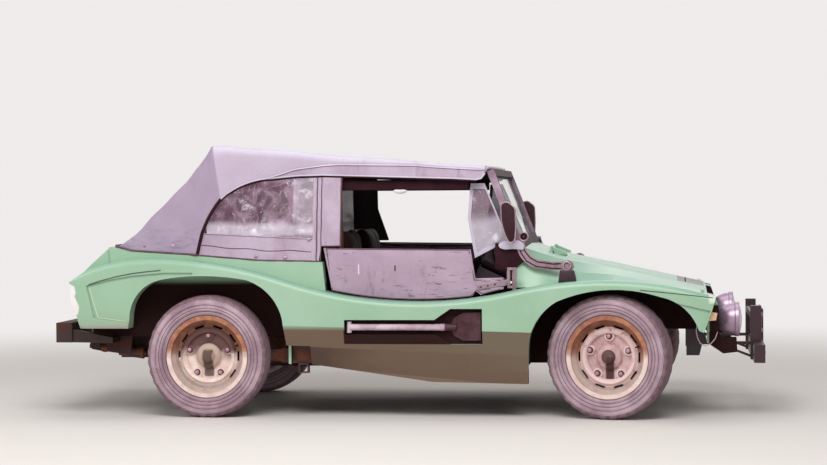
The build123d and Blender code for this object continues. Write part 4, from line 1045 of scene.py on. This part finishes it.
def doorColumn(x, side):
    low = lineAt([doorShape["rearTop"], rearFoot], x) if x < rearFoot[0] else lineAt(footLine, x)
    high = doorTop(x)
    out = []
    rows = doorShape["rows"]
    for i in range(rows + 1):
        z = low + (high - low) * i / rows
        edge = min(1.0, min(i, rows - i) / 3, (x - doorMarks[0]) / 0.04, (doorMarks[-1] - x) / 0.02)
        swell = 0.003 + rumple((x, side, z), 0.0045, 4.5, (1, 1, 1), side)
        swell += rumple((x, side, z), 0.0022, 14, (1, 1, 1), 4)
        swell += 0.0025 * sin((z * 0.6 + x * 0.9) * 34 + rumple((x, side, z), 3, 4))
        y = doorShape["plane"] + doorShape["thick"] - 0.004 + max(edge, 0) * swell
        out.append(Vector((x, side * y, z)))
    return out


def doorRim(side, inset, depth):
    low = [(x, lineAt(footLine, x) + inset) for x in stepsBetween([rearFoot[0] + inset, 0.48], 0.03)]
    top = [(0.480, 0.690), (0.352, 0.690), (0.326, 0.842 - inset), (-0.30, 0.850 - inset),
           (-0.392, 0.852 - inset)]
    return [Vector((x, side * (doorShape["plane"] + depth), z)) for x, z in low + top]


for side, tag in sides:
    body = "door_right" if side < 0 else "door_left"
    columns = [doorColumn(x, side) for x in stepsBetween(doorMarks, 0.014)]
    skin = netPiece("doorSkin" + tag, columns, "doorCloth")
    skinArea = thickened(skin, (0, 0, 0.75), doorShape["cloth"], 60)
    frameRod = rodPiece("doorFrame" + tag, doorRim(side, 0.012, 0.005), doorShape["rod"], "hoop", True)
    edging = rodPiece("doorEdging" + tag, doorRim(side, 0.003, 0.012), 0.0032, "doorEdge", True)
    upright = [(-0.02, lineAt(footLine, -0.02) + 0.01), (-0.02, 0.836)]
    brace = rodPiece("doorBrace" + tag, across(upright, side * 0.689), 0.006, "hoop")
    x, y, z = doorShape["strap"]
    bpy.ops.mesh.primitive_cube_add(size=1, location=(x, side * y, z))
    strap = bpy.context.object
    strap.name = "doorStrap" + tag
    strap.scale = (0.152, 0.004, 0.030)
    bpy.ops.object.transform_apply(location=True, rotation=False, scale=True)
    for v in strap.data.vertices:
        if v.co.x < 0.40:
            v.co.z = 0.652 + (v.co.z - z) * 0.7
    applied(strap, "BEVEL", width=0.0015, segments=2)
    setFinish(strap, "aluminium")
    x, y = doorShape["hinge"]
    upright = across([(x, 0.664), (x, 0.738)], side * y)
    barrel = rodPiece("doorBarrel" + tag, upright, 0.009, "aluminium", False, 5)
    heads = []
    for x in (0.385, 0.42, 0.455):
        bpy.ops.mesh.primitive_uv_sphere_add(segments=12, ring_count=6, radius=0.005,
                                             location=(x, side * 0.704, 0.655 + (x - 0.385) * 0.2))
        bpy.context.object.scale = (1, 0.5, 1)
        bpy.ops.object.transform_apply(location=True, rotation=False, scale=True)
        setFinish(bpy.context.object, "rust")
        heads.append(bpy.context.object)
    rivets = smooth(joinPieces("strapRivets" + tag, heads))
    upright = across([(-0.045, 0.738), (-0.045, 0.764)], side * 0.7015)
    slit = rodPiece("doorSlit" + tag, upright, 0.003, "plastic")
    for slotName, pieces in (("canvas", (skin, edging)),
                             ("rusty_steel", (frameRod, brace, strap, barrel, rivets)),
                             ("black_plastic", (slit,))):
        for piece in pieces:
            ridden(piece, body, body)
print("doors made")


# Quarter curtains by the windscreen pillars
quarterShape = {"outline": [(0.325, 1.172), (0.396, 1.172), (0.5155, 0.885), (0.348, 0.797), (0.311, 1.000)],
                "low": 0.602, "lean": 0.0946, "middle": (0.415, 0.985), "rings": 14}


def quarterPoint(x, z, side, out):
    y = quarterShape["low"] - quarterShape["lean"] * (z - 0.868) + 0.002 + out
    return Vector((x, side * y, z))


def loopOf(outline, count):
    # a closed outline laid out in even steps, its corners kept
    total = sum(hypot(b[0] - a[0], b[1] - a[1]) for a, b in zip(outline, outline[1:] + outline[:1]))
    out = []
    for a, b in zip(outline, outline[1:] + outline[:1]):
        steps = max(2, round(count * hypot(b[0] - a[0], b[1] - a[1]) / total))
        out += [(a[0] + (b[0] - a[0]) * i / steps, a[1] + (b[1] - a[1]) * i / steps) for i in range(steps)]
    return out


outerLoop = loopOf(quarterShape["outline"], 120)


def quarterRing(side, share, swell):
    # the outline drawn in towards its middle, crinkled by swell
    (mx, mz), row = quarterShape["middle"], []
    for x, z in outerLoop:
        px, pz = mx + (x - mx) * share, mz + (z - mz) * share
        crinkle = rumple((px, side, pz), 0.009, 9, (1, 1, 1), side)
        crinkle += rumple((px, side, pz), 0.006, 22, (1, 1, 0.6), 6)
        row.append(quarterPoint(px, pz, side, crinkle * swell))
    return row


for side, tag in sides:
    borderRings = [quarterRing(side, *pair) for pair in ((1.0, 0), (0.95, 0.2), (0.90, 0.4), (0.85, 0.6))]
    border = netPiece("quarterCurtain" + tag, borderRings, "canvasPale", True)
    count = quarterShape["rings"]
    paneRings = [quarterRing(side, 0.85 * (1 - k / count), 1.0) for k in range(count)]
    paneRings.append(quarterRing(side, 0.004, 1))
    pane = netPiece("quarterWindow" + tag, paneRings, "clearVinyl", True)
    for piece, slotName, node, thick in ((border, "canvas", "side_curtains", 0.004),
                                         (pane, "clear_vinyl", "curtain_panes", 0.0012)):
        quarterArea = thickened(piece, (0.4, 0, 1.0), thick, 60)
        ridden(piece, "root", node)
        (0.13, 0.28) if piece == border else (0.20, 0.27)
print("quarter curtains made")


# Seats: padded cushions in worn vinyl
seatShape = {"half": 0.225, "middle": 0.345, "channels": (-0.13, -0.045, 0.045, 0.13), "cap": 0.014,
             "voxel": 0.011, "lean": 0.165, "fill": 0.5}
clothShape = {"pressure": 4.0, "stiffness": 12, "frames": 20}


def padStart(name, low, high, lean=0.0, bevel=0.03):
    # a box with rounded edges that leans back by its height
    bpy.ops.object.select_all(action="DESELECT")
    bpy.ops.mesh.primitive_cube_add(size=1, location=[(a + b) / 2 for a, b in zip(low, high)])
    pad = bpy.context.object
    pad.name = name
    pad.scale = [b - a for a, b in zip(low, high)]
    bpy.ops.object.transform_apply(location=True, rotation=False, scale=True)
    applied(pad, "BEVEL", width=bevel, segments=4)
    for v in pad.data.vertices:
        v.co.x -= (v.co.z - low[2]) * lean
    return pad


def inflate(pad, cap, voxel):
    # the stuffing's push, by cloth with pressure, and no point further out than the cap
    applied(pad, "REMESH", mode="VOXEL", voxel_size=voxel)
    start = [v.co.copy() for v in pad.data.vertices]
    onlySelect(pad)
    cloth = pad.modifiers.new("cloth", "CLOTH")
    cloth.settings.use_pressure = True
    cloth.settings.uniform_pressure_force = clothShape["pressure"]
    cloth.settings.tension_stiffness = clothShape["stiffness"]
    cloth.settings.compression_stiffness = clothShape["stiffness"]
    cloth.settings.effector_weights.gravity = 0
    cloth.point_cache.frame_start, cloth.point_cache.frame_end = 1, clothShape["frames"]
    for step in range(1, clothShape["frames"] + 1):
        bpy.context.scene.frame_set(step)
    bpy.ops.object.modifier_apply(modifier=cloth.name)
    bpy.context.scene.frame_set(1)
    for v, home in zip(pad.data.vertices, start):
        push = v.co - home
        if push.length > cap:
            v.co = home + push.normalized() * cap
    return pad


def channels(pad, axis, places, depth, width, facing):
    # sewn channels pressed into the face that looks along facing
    facing = Vector(facing)
    for v, n in [(v, v.normal.copy()) for v in pad.data.vertices]:
        if n.dot(facing) > 0.3:
            for place in places:
                gap = abs(v.co[axis] - place) / width
                if gap < 1:
                    v.co -= facing * depth * (1 - gap) ** 2


def finishPad(pad, node):
    applied(pad, "SUBSURF", levels=1, render_levels=1)
    smooth(pad, 80)
    setFinish(pad, "seat")
    ridden(pad, "root", node)


for side, tag in sides:
    y, half, lean = side * seatShape["middle"], seatShape["half"], seatShape["lean"]
    sewn = [y + place for place in seatShape["channels"]]
    cushion = padStart("seatCushion" + tag, (-0.275, y - half + 0.01, 0.352), (0.178, y + half - 0.01, 0.428))
    inflate(cushion, seatShape["cap"], seatShape["voxel"])
    channels(cushion, 1, sewn, 0.007, 0.016, (0, 0, 1))
    finishPad(cushion, "seats")
    back = padStart("seatBack" + tag, (-0.292, y - half + 0.01, 0.44), (-0.232, y + half - 0.01, 0.945), lean)
    inflate(back, seatShape["cap"], seatShape["voxel"])
    channels(back, 1, sewn, 0.007, 0.016, (1, 0, 0.2))
    finishPad(back, "seats")
    base = padStart("seatBase" + tag, (-0.296, y - half, 0.2665), (0.176, y + half, 0.348), 0, 0.008)
    shell = padStart("seatShell" + tag, (-0.322, y - half - 0.002, 0.40),
                     (-0.296, y + half + 0.002, 0.93), lean, 0.011)
    for piece in (base, shell):
        smooth(piece)
        setFinish(piece, "plastic")
        ridden(piece, "root", "seats")
bench = padStart("benchCushion", (-0.705, -0.53, 0.395), (-0.500, 0.53, 0.505))
inflate(bench, 0.010, 0.014)
channels(bench, 1, [-0.36, -0.18, 0, 0.18, 0.36], 0.006, 0.016, (0, 0, 1))
finishPad(bench, "rear_bench")
benchBack = padStart("benchBack", (-0.722, -0.53, 0.53), (-0.665, 0.53, 0.735), 0.72, 0.02)
inflate(benchBack, 0.008, 0.014)
finishPad(benchBack, "rear_bench")
benchLegs = []
for side in (-1, 1):
    inner, outer = sorted((side * 0.10, side * 0.54))
    leg = padStart("benchLeg", (-0.556, inner, 0.2665), (-0.494, outer, 0.392), 0, 0.006)
    setFinish(leg, "plastic")
    benchLegs.append(leg)
ridden(joinPieces("benchBase", benchLegs), "root", "rear_bench")
print("seats made")


# Tyres: sidewall ribs, square shoulders and a zigzag tread
tyreShape = {
    "steps": 180, "grooves": [-0.045, -0.016, 0.016, 0.045], "groove": 0.0058, "depth": 0.007,
    "zigzag": 0.0030, "pitch": 3, "ribs": [0.222, 0.238, 0.262],
}


def tyreProfile():
    # (radius, half width, kind) from the inner bead over the tread to the outer bead
    side = [(0.190, 0.060), (0.199, 0.0602), (0.207, 0.0605), (0.2095, 0.0655), (0.214, 0.0705)]
    for r in tyreShape["ribs"]:
        w = 0.0605 + 0.0205 * sin(min(1.0, (r - 0.205) / 0.045) * pi / 2)
        side += [(r - 0.0030, w), (r - 0.0016, w + 0.0022), (r + 0.0016, w + 0.0025), (r + 0.0030, w + 0.0003)]
    side += [(0.252, 0.0818), (0.268, 0.0815), (0.280, 0.0803), (0.2865, 0.0790), (0.288, 0.0772)]
    side = [(r, w, "") for r, w in sorted(set(side))]
    side += [(r, w, "lug") for r, w in ((0.2935, 0.0768), (0.3000, 0.0735), (0.3043, 0.0670), (0.3053, 0.0560))]
    tread = []
    for g in tyreShape["grooves"]:
        r = 0.308 - 0.0027 * (abs(g) / 0.066) ** 2
        half, deep = tyreShape["groove"] / 2, r - tyreShape["depth"]
        tread += [(r, g - half, "zig"), (deep, g - half + 0.001, "zig"), (deep, g + half - 0.001, "zig"),
                  (r, g + half, "zig")]
    mirror = [(r, -w, k) for r, w, k in side]
    tread = tread[:8] + [(0.308, -0.006, ""), (0.308, 0.006, "")] + tread[8:]
    return mirror + tread + list(reversed(side))


def makeTyre(name, centre, axis):
    profile = tyreProfile()
    piece = meshPiece(name, [(r, w, 0) for r, w, kind in profile], [], "rubber")
    onlySelect(piece)
    bm = bmesh.new()
    bm.from_mesh(piece.data)
    bm.verts.ensure_lookup_table()
    for i in range(len(profile)):
        bm.edges.new((bm.verts[i], bm.verts[(i + 1) % len(profile)]))
    bm.to_mesh(piece.data)
    bm.free()
    bpy.ops.object.mode_set(mode="EDIT")
    bpy.ops.mesh.select_all(action="SELECT")
    bpy.ops.mesh.spin(steps=tyreShape["steps"], angle=2 * pi, center=(0, 0, 0), axis=(0, 1, 0))
    bpy.ops.object.mode_set(mode="OBJECT")
    tidyMesh(piece, 0.00002)
    ring = piece.data.attributes.new("ring", "FLOAT", "POINT")
    for i, v in enumerate(piece.data.vertices):
        ring.data[i].value = hypot(v.co.x, v.co.z)
    kinds = {(round(r, 4), round(w, 4)): kind for r, w, kind in profile}
    for v in piece.data.vertices:
        r, w = hypot(v.co.x, v.co.z), v.co.y
        step = round(atan2(v.co.z, v.co.x) / (2 * pi) * tyreShape["steps"]) % tyreShape["steps"]
        kind = kinds.get((round(r, 4), round(w, 4)), "")
        if kind == "zig":
            pitch = tyreShape["pitch"]
            phase = step % (2 * pitch)
            wave = min(phase, 2 * pitch - phase) / pitch
            v.co.y += (wave - 0.5) * 2 * tyreShape["zigzag"] * (1 if abs(w) < 0.03 else -1)
        elif kind == "lug" and step % 5 in (0, 1):
            shrink = 1 - 0.0045 / r
            v.co.x *= shrink
            v.co.z *= shrink
            v.co.y -= 0.0012 * (1 if w > 0 else -1)
    piece.data.transform(Matrix.Translation(centre) @ turnedTo(axis, (0, 1, 0)))
    smooth(piece, 35)
    return piece


for name, (centre, axis) in corners.items():
    ridden(makeTyre("roadTyre_" + name, centre, axis), "road_wheel_" + name, "tyre_" + name)
print("tyres made")


# Trim: rails, covers, mirrors, ribs, bolts, and rods of painted shade and highlight along the creases
def barPiece(name, low, high, finish, bevel=0.006):
    # a bar with rounded edges between two corners
    bpy.ops.mesh.primitive_cube_add(size=1)
    piece = bpy.context.object
    piece.name = name
    for v in piece.data.vertices:
        v.co = Vector([(a + b) / 2 + c * (b - a) for a, b, c in zip(low, high, v.co)])
    applied(piece, "BEVEL", width=bevel, segments=3)
    setFinish(piece, finish)
    return smooth(piece, 40)


def platePiece(name, outline, near, far, side, finish, bevel=0.003):
    # an outline of (x, z) points given a thickness across the car
    count = len(outline)
    points = across(outline, side * near) + across(outline, side * far)
    faces = [list(range(count)), list(range(2 * count - 1, count - 1, -1))]
    faces += [[i, i + count, (i + 1) % count + count, (i + 1) % count] for i in range(count)]
    piece = meshPiece(name, points, faces, finish)
    tidyMesh(piece)
    applied(piece, "BEVEL", width=bevel, segments=2)
    return smooth(piece, 40)


def rounded(outline, reach):
    # the outline with its corners cut round, from a reach before each one to a reach behind it
    out = []
    for i, corner in enumerate(outline):
        a, b, c = Vector(outline[i - 1]), Vector(corner), Vector(outline[(i + 1) % len(outline)])
        start = b + (a - b).normalized() * min(reach, (a - b).length * 0.45)
        end = b + (c - b).normalized() * min(reach, (c - b).length * 0.45)
        out += [tuple(start * (1 - t) ** 2 + b * 2 * t * (1 - t) + end * t * t)
                for t in (0, 0.25, 0.5, 0.75, 1)]
    return out


def densely(run, step):
    # the line of points with more of them on each stretch, about a step apart
    out = []
    for a, b in zip(run, run[1:]):
        count = max(2, round(hypot(b[0] - a[0], b[1] - a[1]) / step))
        out += [(a[0] + (b[0] - a[0]) * k / count, a[1] + (b[1] - a[1]) * k / count) for k in range(count)]
    return out + [run[-1]]


def surfaceAt(x, z, side, lift, start=1.4):
    # the first surface met from the side at (x, z)
    bpy.context.view_layer.update()
    place = bpy.context.scene.ray_cast(bpy.context.evaluated_depsgraph_get(), Vector((x, side * start, z)),
                                       Vector((0, -side, 0)))[1]
    return Vector((x, place.y + side * lift, z))


def ringPiece(name, centre, facing, major, minor, finish):
    turn = turnedTo(facing)
    loop = [Vector(centre) + turn @ Vector((major * cos(a), major * sin(a), 0)) for a in ringAngles(32)]
    return rodPiece(name, loop, minor, finish, True)


for side, tag in sides:
    # painted shade and highlight along the body's creases: dark rods in the grooves, a pale rod on a crease's
    # lit edge
    lines = {
        "wingGroove": (0.0035, "groove", [(-1.595, 0.673), (-1.532, 0.693), (-1.454, 0.713), (-1.377, 0.728),
                                          (-1.299, 0.738), (-1.222, 0.745)]),
        "wingCrease": (0.0022, "creaseLight", [(-1.595, 0.658), (-1.549, 0.506), (-1.400, 0.486)]),
        "noseGroove": (0.0028, "groove", [(1.173, 0.642), (1.30, 0.630), (1.42, 0.617), (1.525, 0.604)]),
    }
    for name, (radius, finish, run) in lines.items():
        bead = [surfaceAt(x, z, side, -radius * 0.3) for x, z in densely(run, 0.02)]
        ridden(rodPiece(name + tag, bead, radius, finish), "root")
    # inside of the roof's edge
    low, high = sorted((side * 0.596, side * 0.616))
    rail = barPiece("roofRail" + tag, (-0.335, low, 1.140), (0.318, high, 1.192), "binding")
    ridden(rail, "root")
    # cover on the scuttle's end, and under it a dark plate that stands for the shadow that the cover casts
    coverLine = [(0.470, 0.868), (0.500, 0.884), (0.575, 0.886), (0.602, 0.868), (0.600, 0.836), (0.545, 0.842),
                 (0.508, 0.838), (0.478, 0.846)]
    coverShadowLine = [(0.455, 0.875), (0.602, 0.862), (0.598, 0.780), (0.545, 0.738), (0.520, 0.735),
                  (0.455, 0.742)]
    for name, line, reach, far, finish, bevel in (
            ("scuttleCover", coverLine, 0.012, 0.690, "canvasPale", 0.008),
            ("pillarGusset", coverShadowLine, 0.008, 0.672, "binding", 0.003)):
        plate = platePiece(name + tag, rounded(line, reach), 0.655, far, side, finish, bevel)
        ridden(plate, "root")
    # mirror
    glassLine = rounded([(0.491, 1.068), (0.521, 1.081), (0.561, 1.048), (0.564, 0.954), (0.560, 0.886),
                         (0.532, 0.873), (0.510, 0.919), (0.493, 0.984)], 0.016)
    shell = platePiece("mirrorShell" + tag, glassLine, 0.680, 0.752, side, "plastic", 0.010)
    edge = rodPiece("mirrorEdge" + tag, across(glassLine, side * 0.748), 0.0030, "ring", True)
    stems = [rodPiece("stem", [(0.530, side * 0.69, z), (0.545 - (z - 0.98) * 0.35, side * 0.640, z)], 0.006,
                      "plastic") for z in (0.955, 1.020)]
    ridden(joinPieces("doorMirror" + tag, [shell, edge] + stems), "root", "mirrors")
    # ribs, bush and foot of the scuttle arm
    ribs = [rodPiece("rib", across(run, side * 0.6765), 0.0026, "binding") for run in (
        [(0.572, 0.872), (0.584, 0.825), (0.612, 0.783), (0.658, 0.757), (0.742, 0.746), (0.784, 0.745)],
        [(0.590, 0.872), (0.604, 0.832), (0.629, 0.800), (0.666, 0.779), (0.742, 0.768), (0.782, 0.770)])]
    ribs.append(ringPiece("bush", (0.812, side * 0.682, 0.759), (0, side, 0), 0.019, 0.0045, "ring"))
    if side < 0:
        for major, minor, finish in ((0.021, 0.0045, "ring"), (0.010, 0.0065, "binding")):
            ribs.append(ringPiece("spindle", (0.598, -0.672, 0.905), (0, -1, 0), major, minor, finish))
    ridden(joinPieces("armTrim" + tag, ribs), "root")
    footPlate = rounded([(0.778, 0.738), (0.848, 0.738), (0.860, 0.680), (0.768, 0.668)], 0.008)
    foot = platePiece("armFoot" + tag, footPlate, 0.644, 0.692, side, "bumperBlack", 0.004)
    ridden(foot, "root")
    # wire loop below the wing's nose
    wire = [(1.452, 0.480), (1.446, 0.440), (1.452, 0.405), (1.466, 0.378), (1.490, 0.367), (1.515, 0.376),
            (1.538, 0.402), (1.549, 0.435)]
    ridden(rodPiece("towLoop" + tag, across(wire, side * 0.735), 0.0026, "ring"), "root")
    # rim and ribbed glass of the headlamp
    face = Vector((1.6585, side * 0.55, 0.488))
    ringed = [ringPiece("lampRim", face - Vector((0.004, 0, 0)), (1, 0, 0), 0.0810, 0.0062, "chrome")]
    rows = []
    for r in [0.0052 * k for k in range(1, 15)]:
        bulge = 0.014 * (1 - (r / 0.078) ** 2)
        rows.append([face + Vector((bulge + 0.0006 * cos(r * sin(a) * 900), r * cos(a), r * sin(a)))
                     for a in ringAngles(72)])
    glass = netPiece("lampGlass", rows, "lens", True)
    thickened(glass, face - Vector((0.3, 0, 0)), 0.003, 60)
    ringed.append(glass)
    ridden(joinPieces("headlampGlass" + tag, ringed), "root")
    # bolts through the bumper's guards
    spots = ((1.788, 0.20, 0.318), (1.788, 0.48, 0.318), (1.778, 0.35, 0.42), (1.778, 0.35, 0.50))
    spots = [(Vector((x, side * y, z)), (1, 0, 0)) for x, y, z in spots]
    ridden(snapPiece("bumperBolts" + tag, spots, "ring", 0.012), "root")

# the small light under the right rail, flat on top
domeShape = {"middle": (-0.028, -0.606, 1.141), "radii": (0.036, 0.012, 0.019), "flat": 0.1}
bpy.ops.mesh.primitive_uv_sphere_add(segments=32, ring_count=16, radius=1)
lampDome = bpy.context.object
lampDome.name = "domeLight"
for v in lampDome.data.vertices:
    v.co.z = min(v.co.z, domeShape["flat"])
    v.co = Vector([m + c * r for m, c, r in zip(domeShape["middle"], v.co, domeShape["radii"])])
setFinish(lampDome, "dome")
smooth(lampDome, 50)
ridden(lampDome, "root")

# wheel bolts on their washers, and the tyre valve
boltShape = {
    "count": 5, "circle": 0.1025,
    # radius, depth, edges and how far it stands out
    "washer": (0.0165, 0.004, 20, 0.0155), "head": (0.0105, 0.014, 6, 0.0230),
}
for name, (centre, axis) in corners.items():
    side = 1 if centre.y > 0 else -1
    outward = axis if side > 0 else -axis
    forward = Vector((0, 0, 1)).cross(outward) * -side
    upward = outward.cross(forward)
    bolts = []
    for k in range(boltShape["count"]):
        angle = radians(90 + 360 / boltShape["count"] * k)
        spot = centre + (forward * cos(angle) + upward * sin(angle)) * boltShape["circle"]
        for part, finish in (("washer", "ruddy"), ("head", "ring")):
            radius, depth, edges, rise = boltShape[part]
            bpy.ops.mesh.primitive_cylinder_add(vertices=edges, radius=radius, depth=depth)
            bolt = bpy.context.object
            applied(bolt, "BEVEL", width=0.0012, segments=2)
            bolt.data.transform(Matrix.Translation(spot + outward * rise) @ turnedTo(outward))
            setFinish(bolt, finish)
            bolts.append(bolt)
    lean = forward * 0.94 + upward * 0.34
    valve = [centre + outward * 0.016 + lean * 0.158, centre + outward * 0.046 + lean * 0.150]
    bolts.append(rodPiece("valve", valve, 0.0042, "plastic"))
    ridden(smooth(joinPieces("wheelBolts_" + name, bolts), 35), "road_wheel_" + name)
print("trim made")


# Pale floor that fades into the background
bpy.ops.object.select_all(action="DESELECT")
stageShape = {"floor": (222, 217, 212), "worn": (214, 208, 203), "backdrop": (244, 241, 240),
              "fade": (2.6, 7.5)}
floorTone = Finish("paleFloor", Roughness=0.9)
floorCloud = floorTone.place.noise(0.6, 3.0, 0.5) * 0.3
floorTone.link("Base Color", floorCloud.colour(tone(*stageShape["floor"]), tone(*stageShape["worn"])))
x, y, z = floorTone.place.axes()
far = (x * x + y * y).own("SQRT").above(*stageShape["fade"])
floorTree = floorTone.material.node_tree
glow = far.node("Emission", {}, {0: tone(*stageShape["backdrop"]), 1: 0.95})
blend = far.node("MixShader", {}, {0: far, 1: Wire(floorTree, floorTone.shader.outputs[0]), 2: glow})
floorEnd = next(n for n in floorTree.nodes if n.type == "OUTPUT_MATERIAL")
floorTree.links.new(blend.socket, floorEnd.inputs[0])
bpy.ops.mesh.primitive_plane_add(size=60, location=(0, 0, 0))
floor = bpy.context.object
floor.name = "floor"
materials["floor"] = floorTone.material
setFinish(floor, "floor")

# Background, brighter to the camera, in gloss and through glass than as a light
world = bpy.data.worlds.new("studio")
bpy.context.scene.world = world
world.use_nodes = True
sky = Wire(world.node_tree)
cameraRay, glossyRay, throughRay = (sky.node("LightPath", {}, {}, k) for k in (0, 3, 6))
seen = cameraRay.most(glossyRay, throughRay)
skyGlow = world.node_tree.nodes["Background"]
skyGlow.inputs[0].default_value = tone(*stageShape["backdrop"])
world.node_tree.links.new((seen * 0.57 + 0.38).socket, skyGlow.inputs[1])


def softbox(name, place, target, size, power):
    lamp = bpy.data.lights.new(name, "AREA")
    lamp.shape = "RECTANGLE"
    lamp.size, lamp.size_y = size
    lamp.energy = power
    thing = bpy.data.objects.new(name, lamp)
    bpy.context.collection.objects.link(thing)
    thing.location = place
    thing.rotation_euler = (Vector(target) - Vector(place)).to_track_quat("-Z", "Y").to_euler()


# place, target, size and watts
for name, lamp in {"keyBox": ((0.6, -5.0, 5.0), (0, 0, 0.6), (4, 3), 285),
                   "fillBox": ((-5.0, -4.2, 3.2), (0, 0, 0.7), (3, 3), 108),
                   "topBox": ((0, 0.6, 6.0), (0, 0, 0.5), (5, 3), 70),
                   "backBox": ((1.0, 6.0, 3.5), (0, 0, 0.8), (4, 2), 30)}.items():
    softbox(name, *lamp)

# Camera
view = {"place": (1.33, -11.04, 1.11), "yaw": 7.06, "pitch": -1.0, "roll": -0.39, "lens": 90.85, "sensor": 36}
camera = bpy.data.objects.new("camera", bpy.data.cameras.new("camera"))
bpy.context.collection.objects.link(camera)
bpy.context.scene.camera = camera
camera.data.sensor_width = view["sensor"]
camera.data.lens = view["lens"]
camera.data.clip_end = 100
yaw, pitch, roll = (radians(view[key]) for key in ("yaw", "pitch", "roll"))
look = Vector((-sin(yaw) * cos(pitch), cos(yaw) * cos(pitch), sin(pitch)))
right = Vector((cos(yaw), sin(yaw), 0))
up = right.cross(look)
right, up = cos(roll) * right + sin(roll) * up, -sin(roll) * right + cos(roll) * up
camera.matrix_world = Matrix((right, up, -look)).transposed().to_4x4()
camera.location = view["place"]
bpy.context.scene.view_settings.view_transform = "Standard"
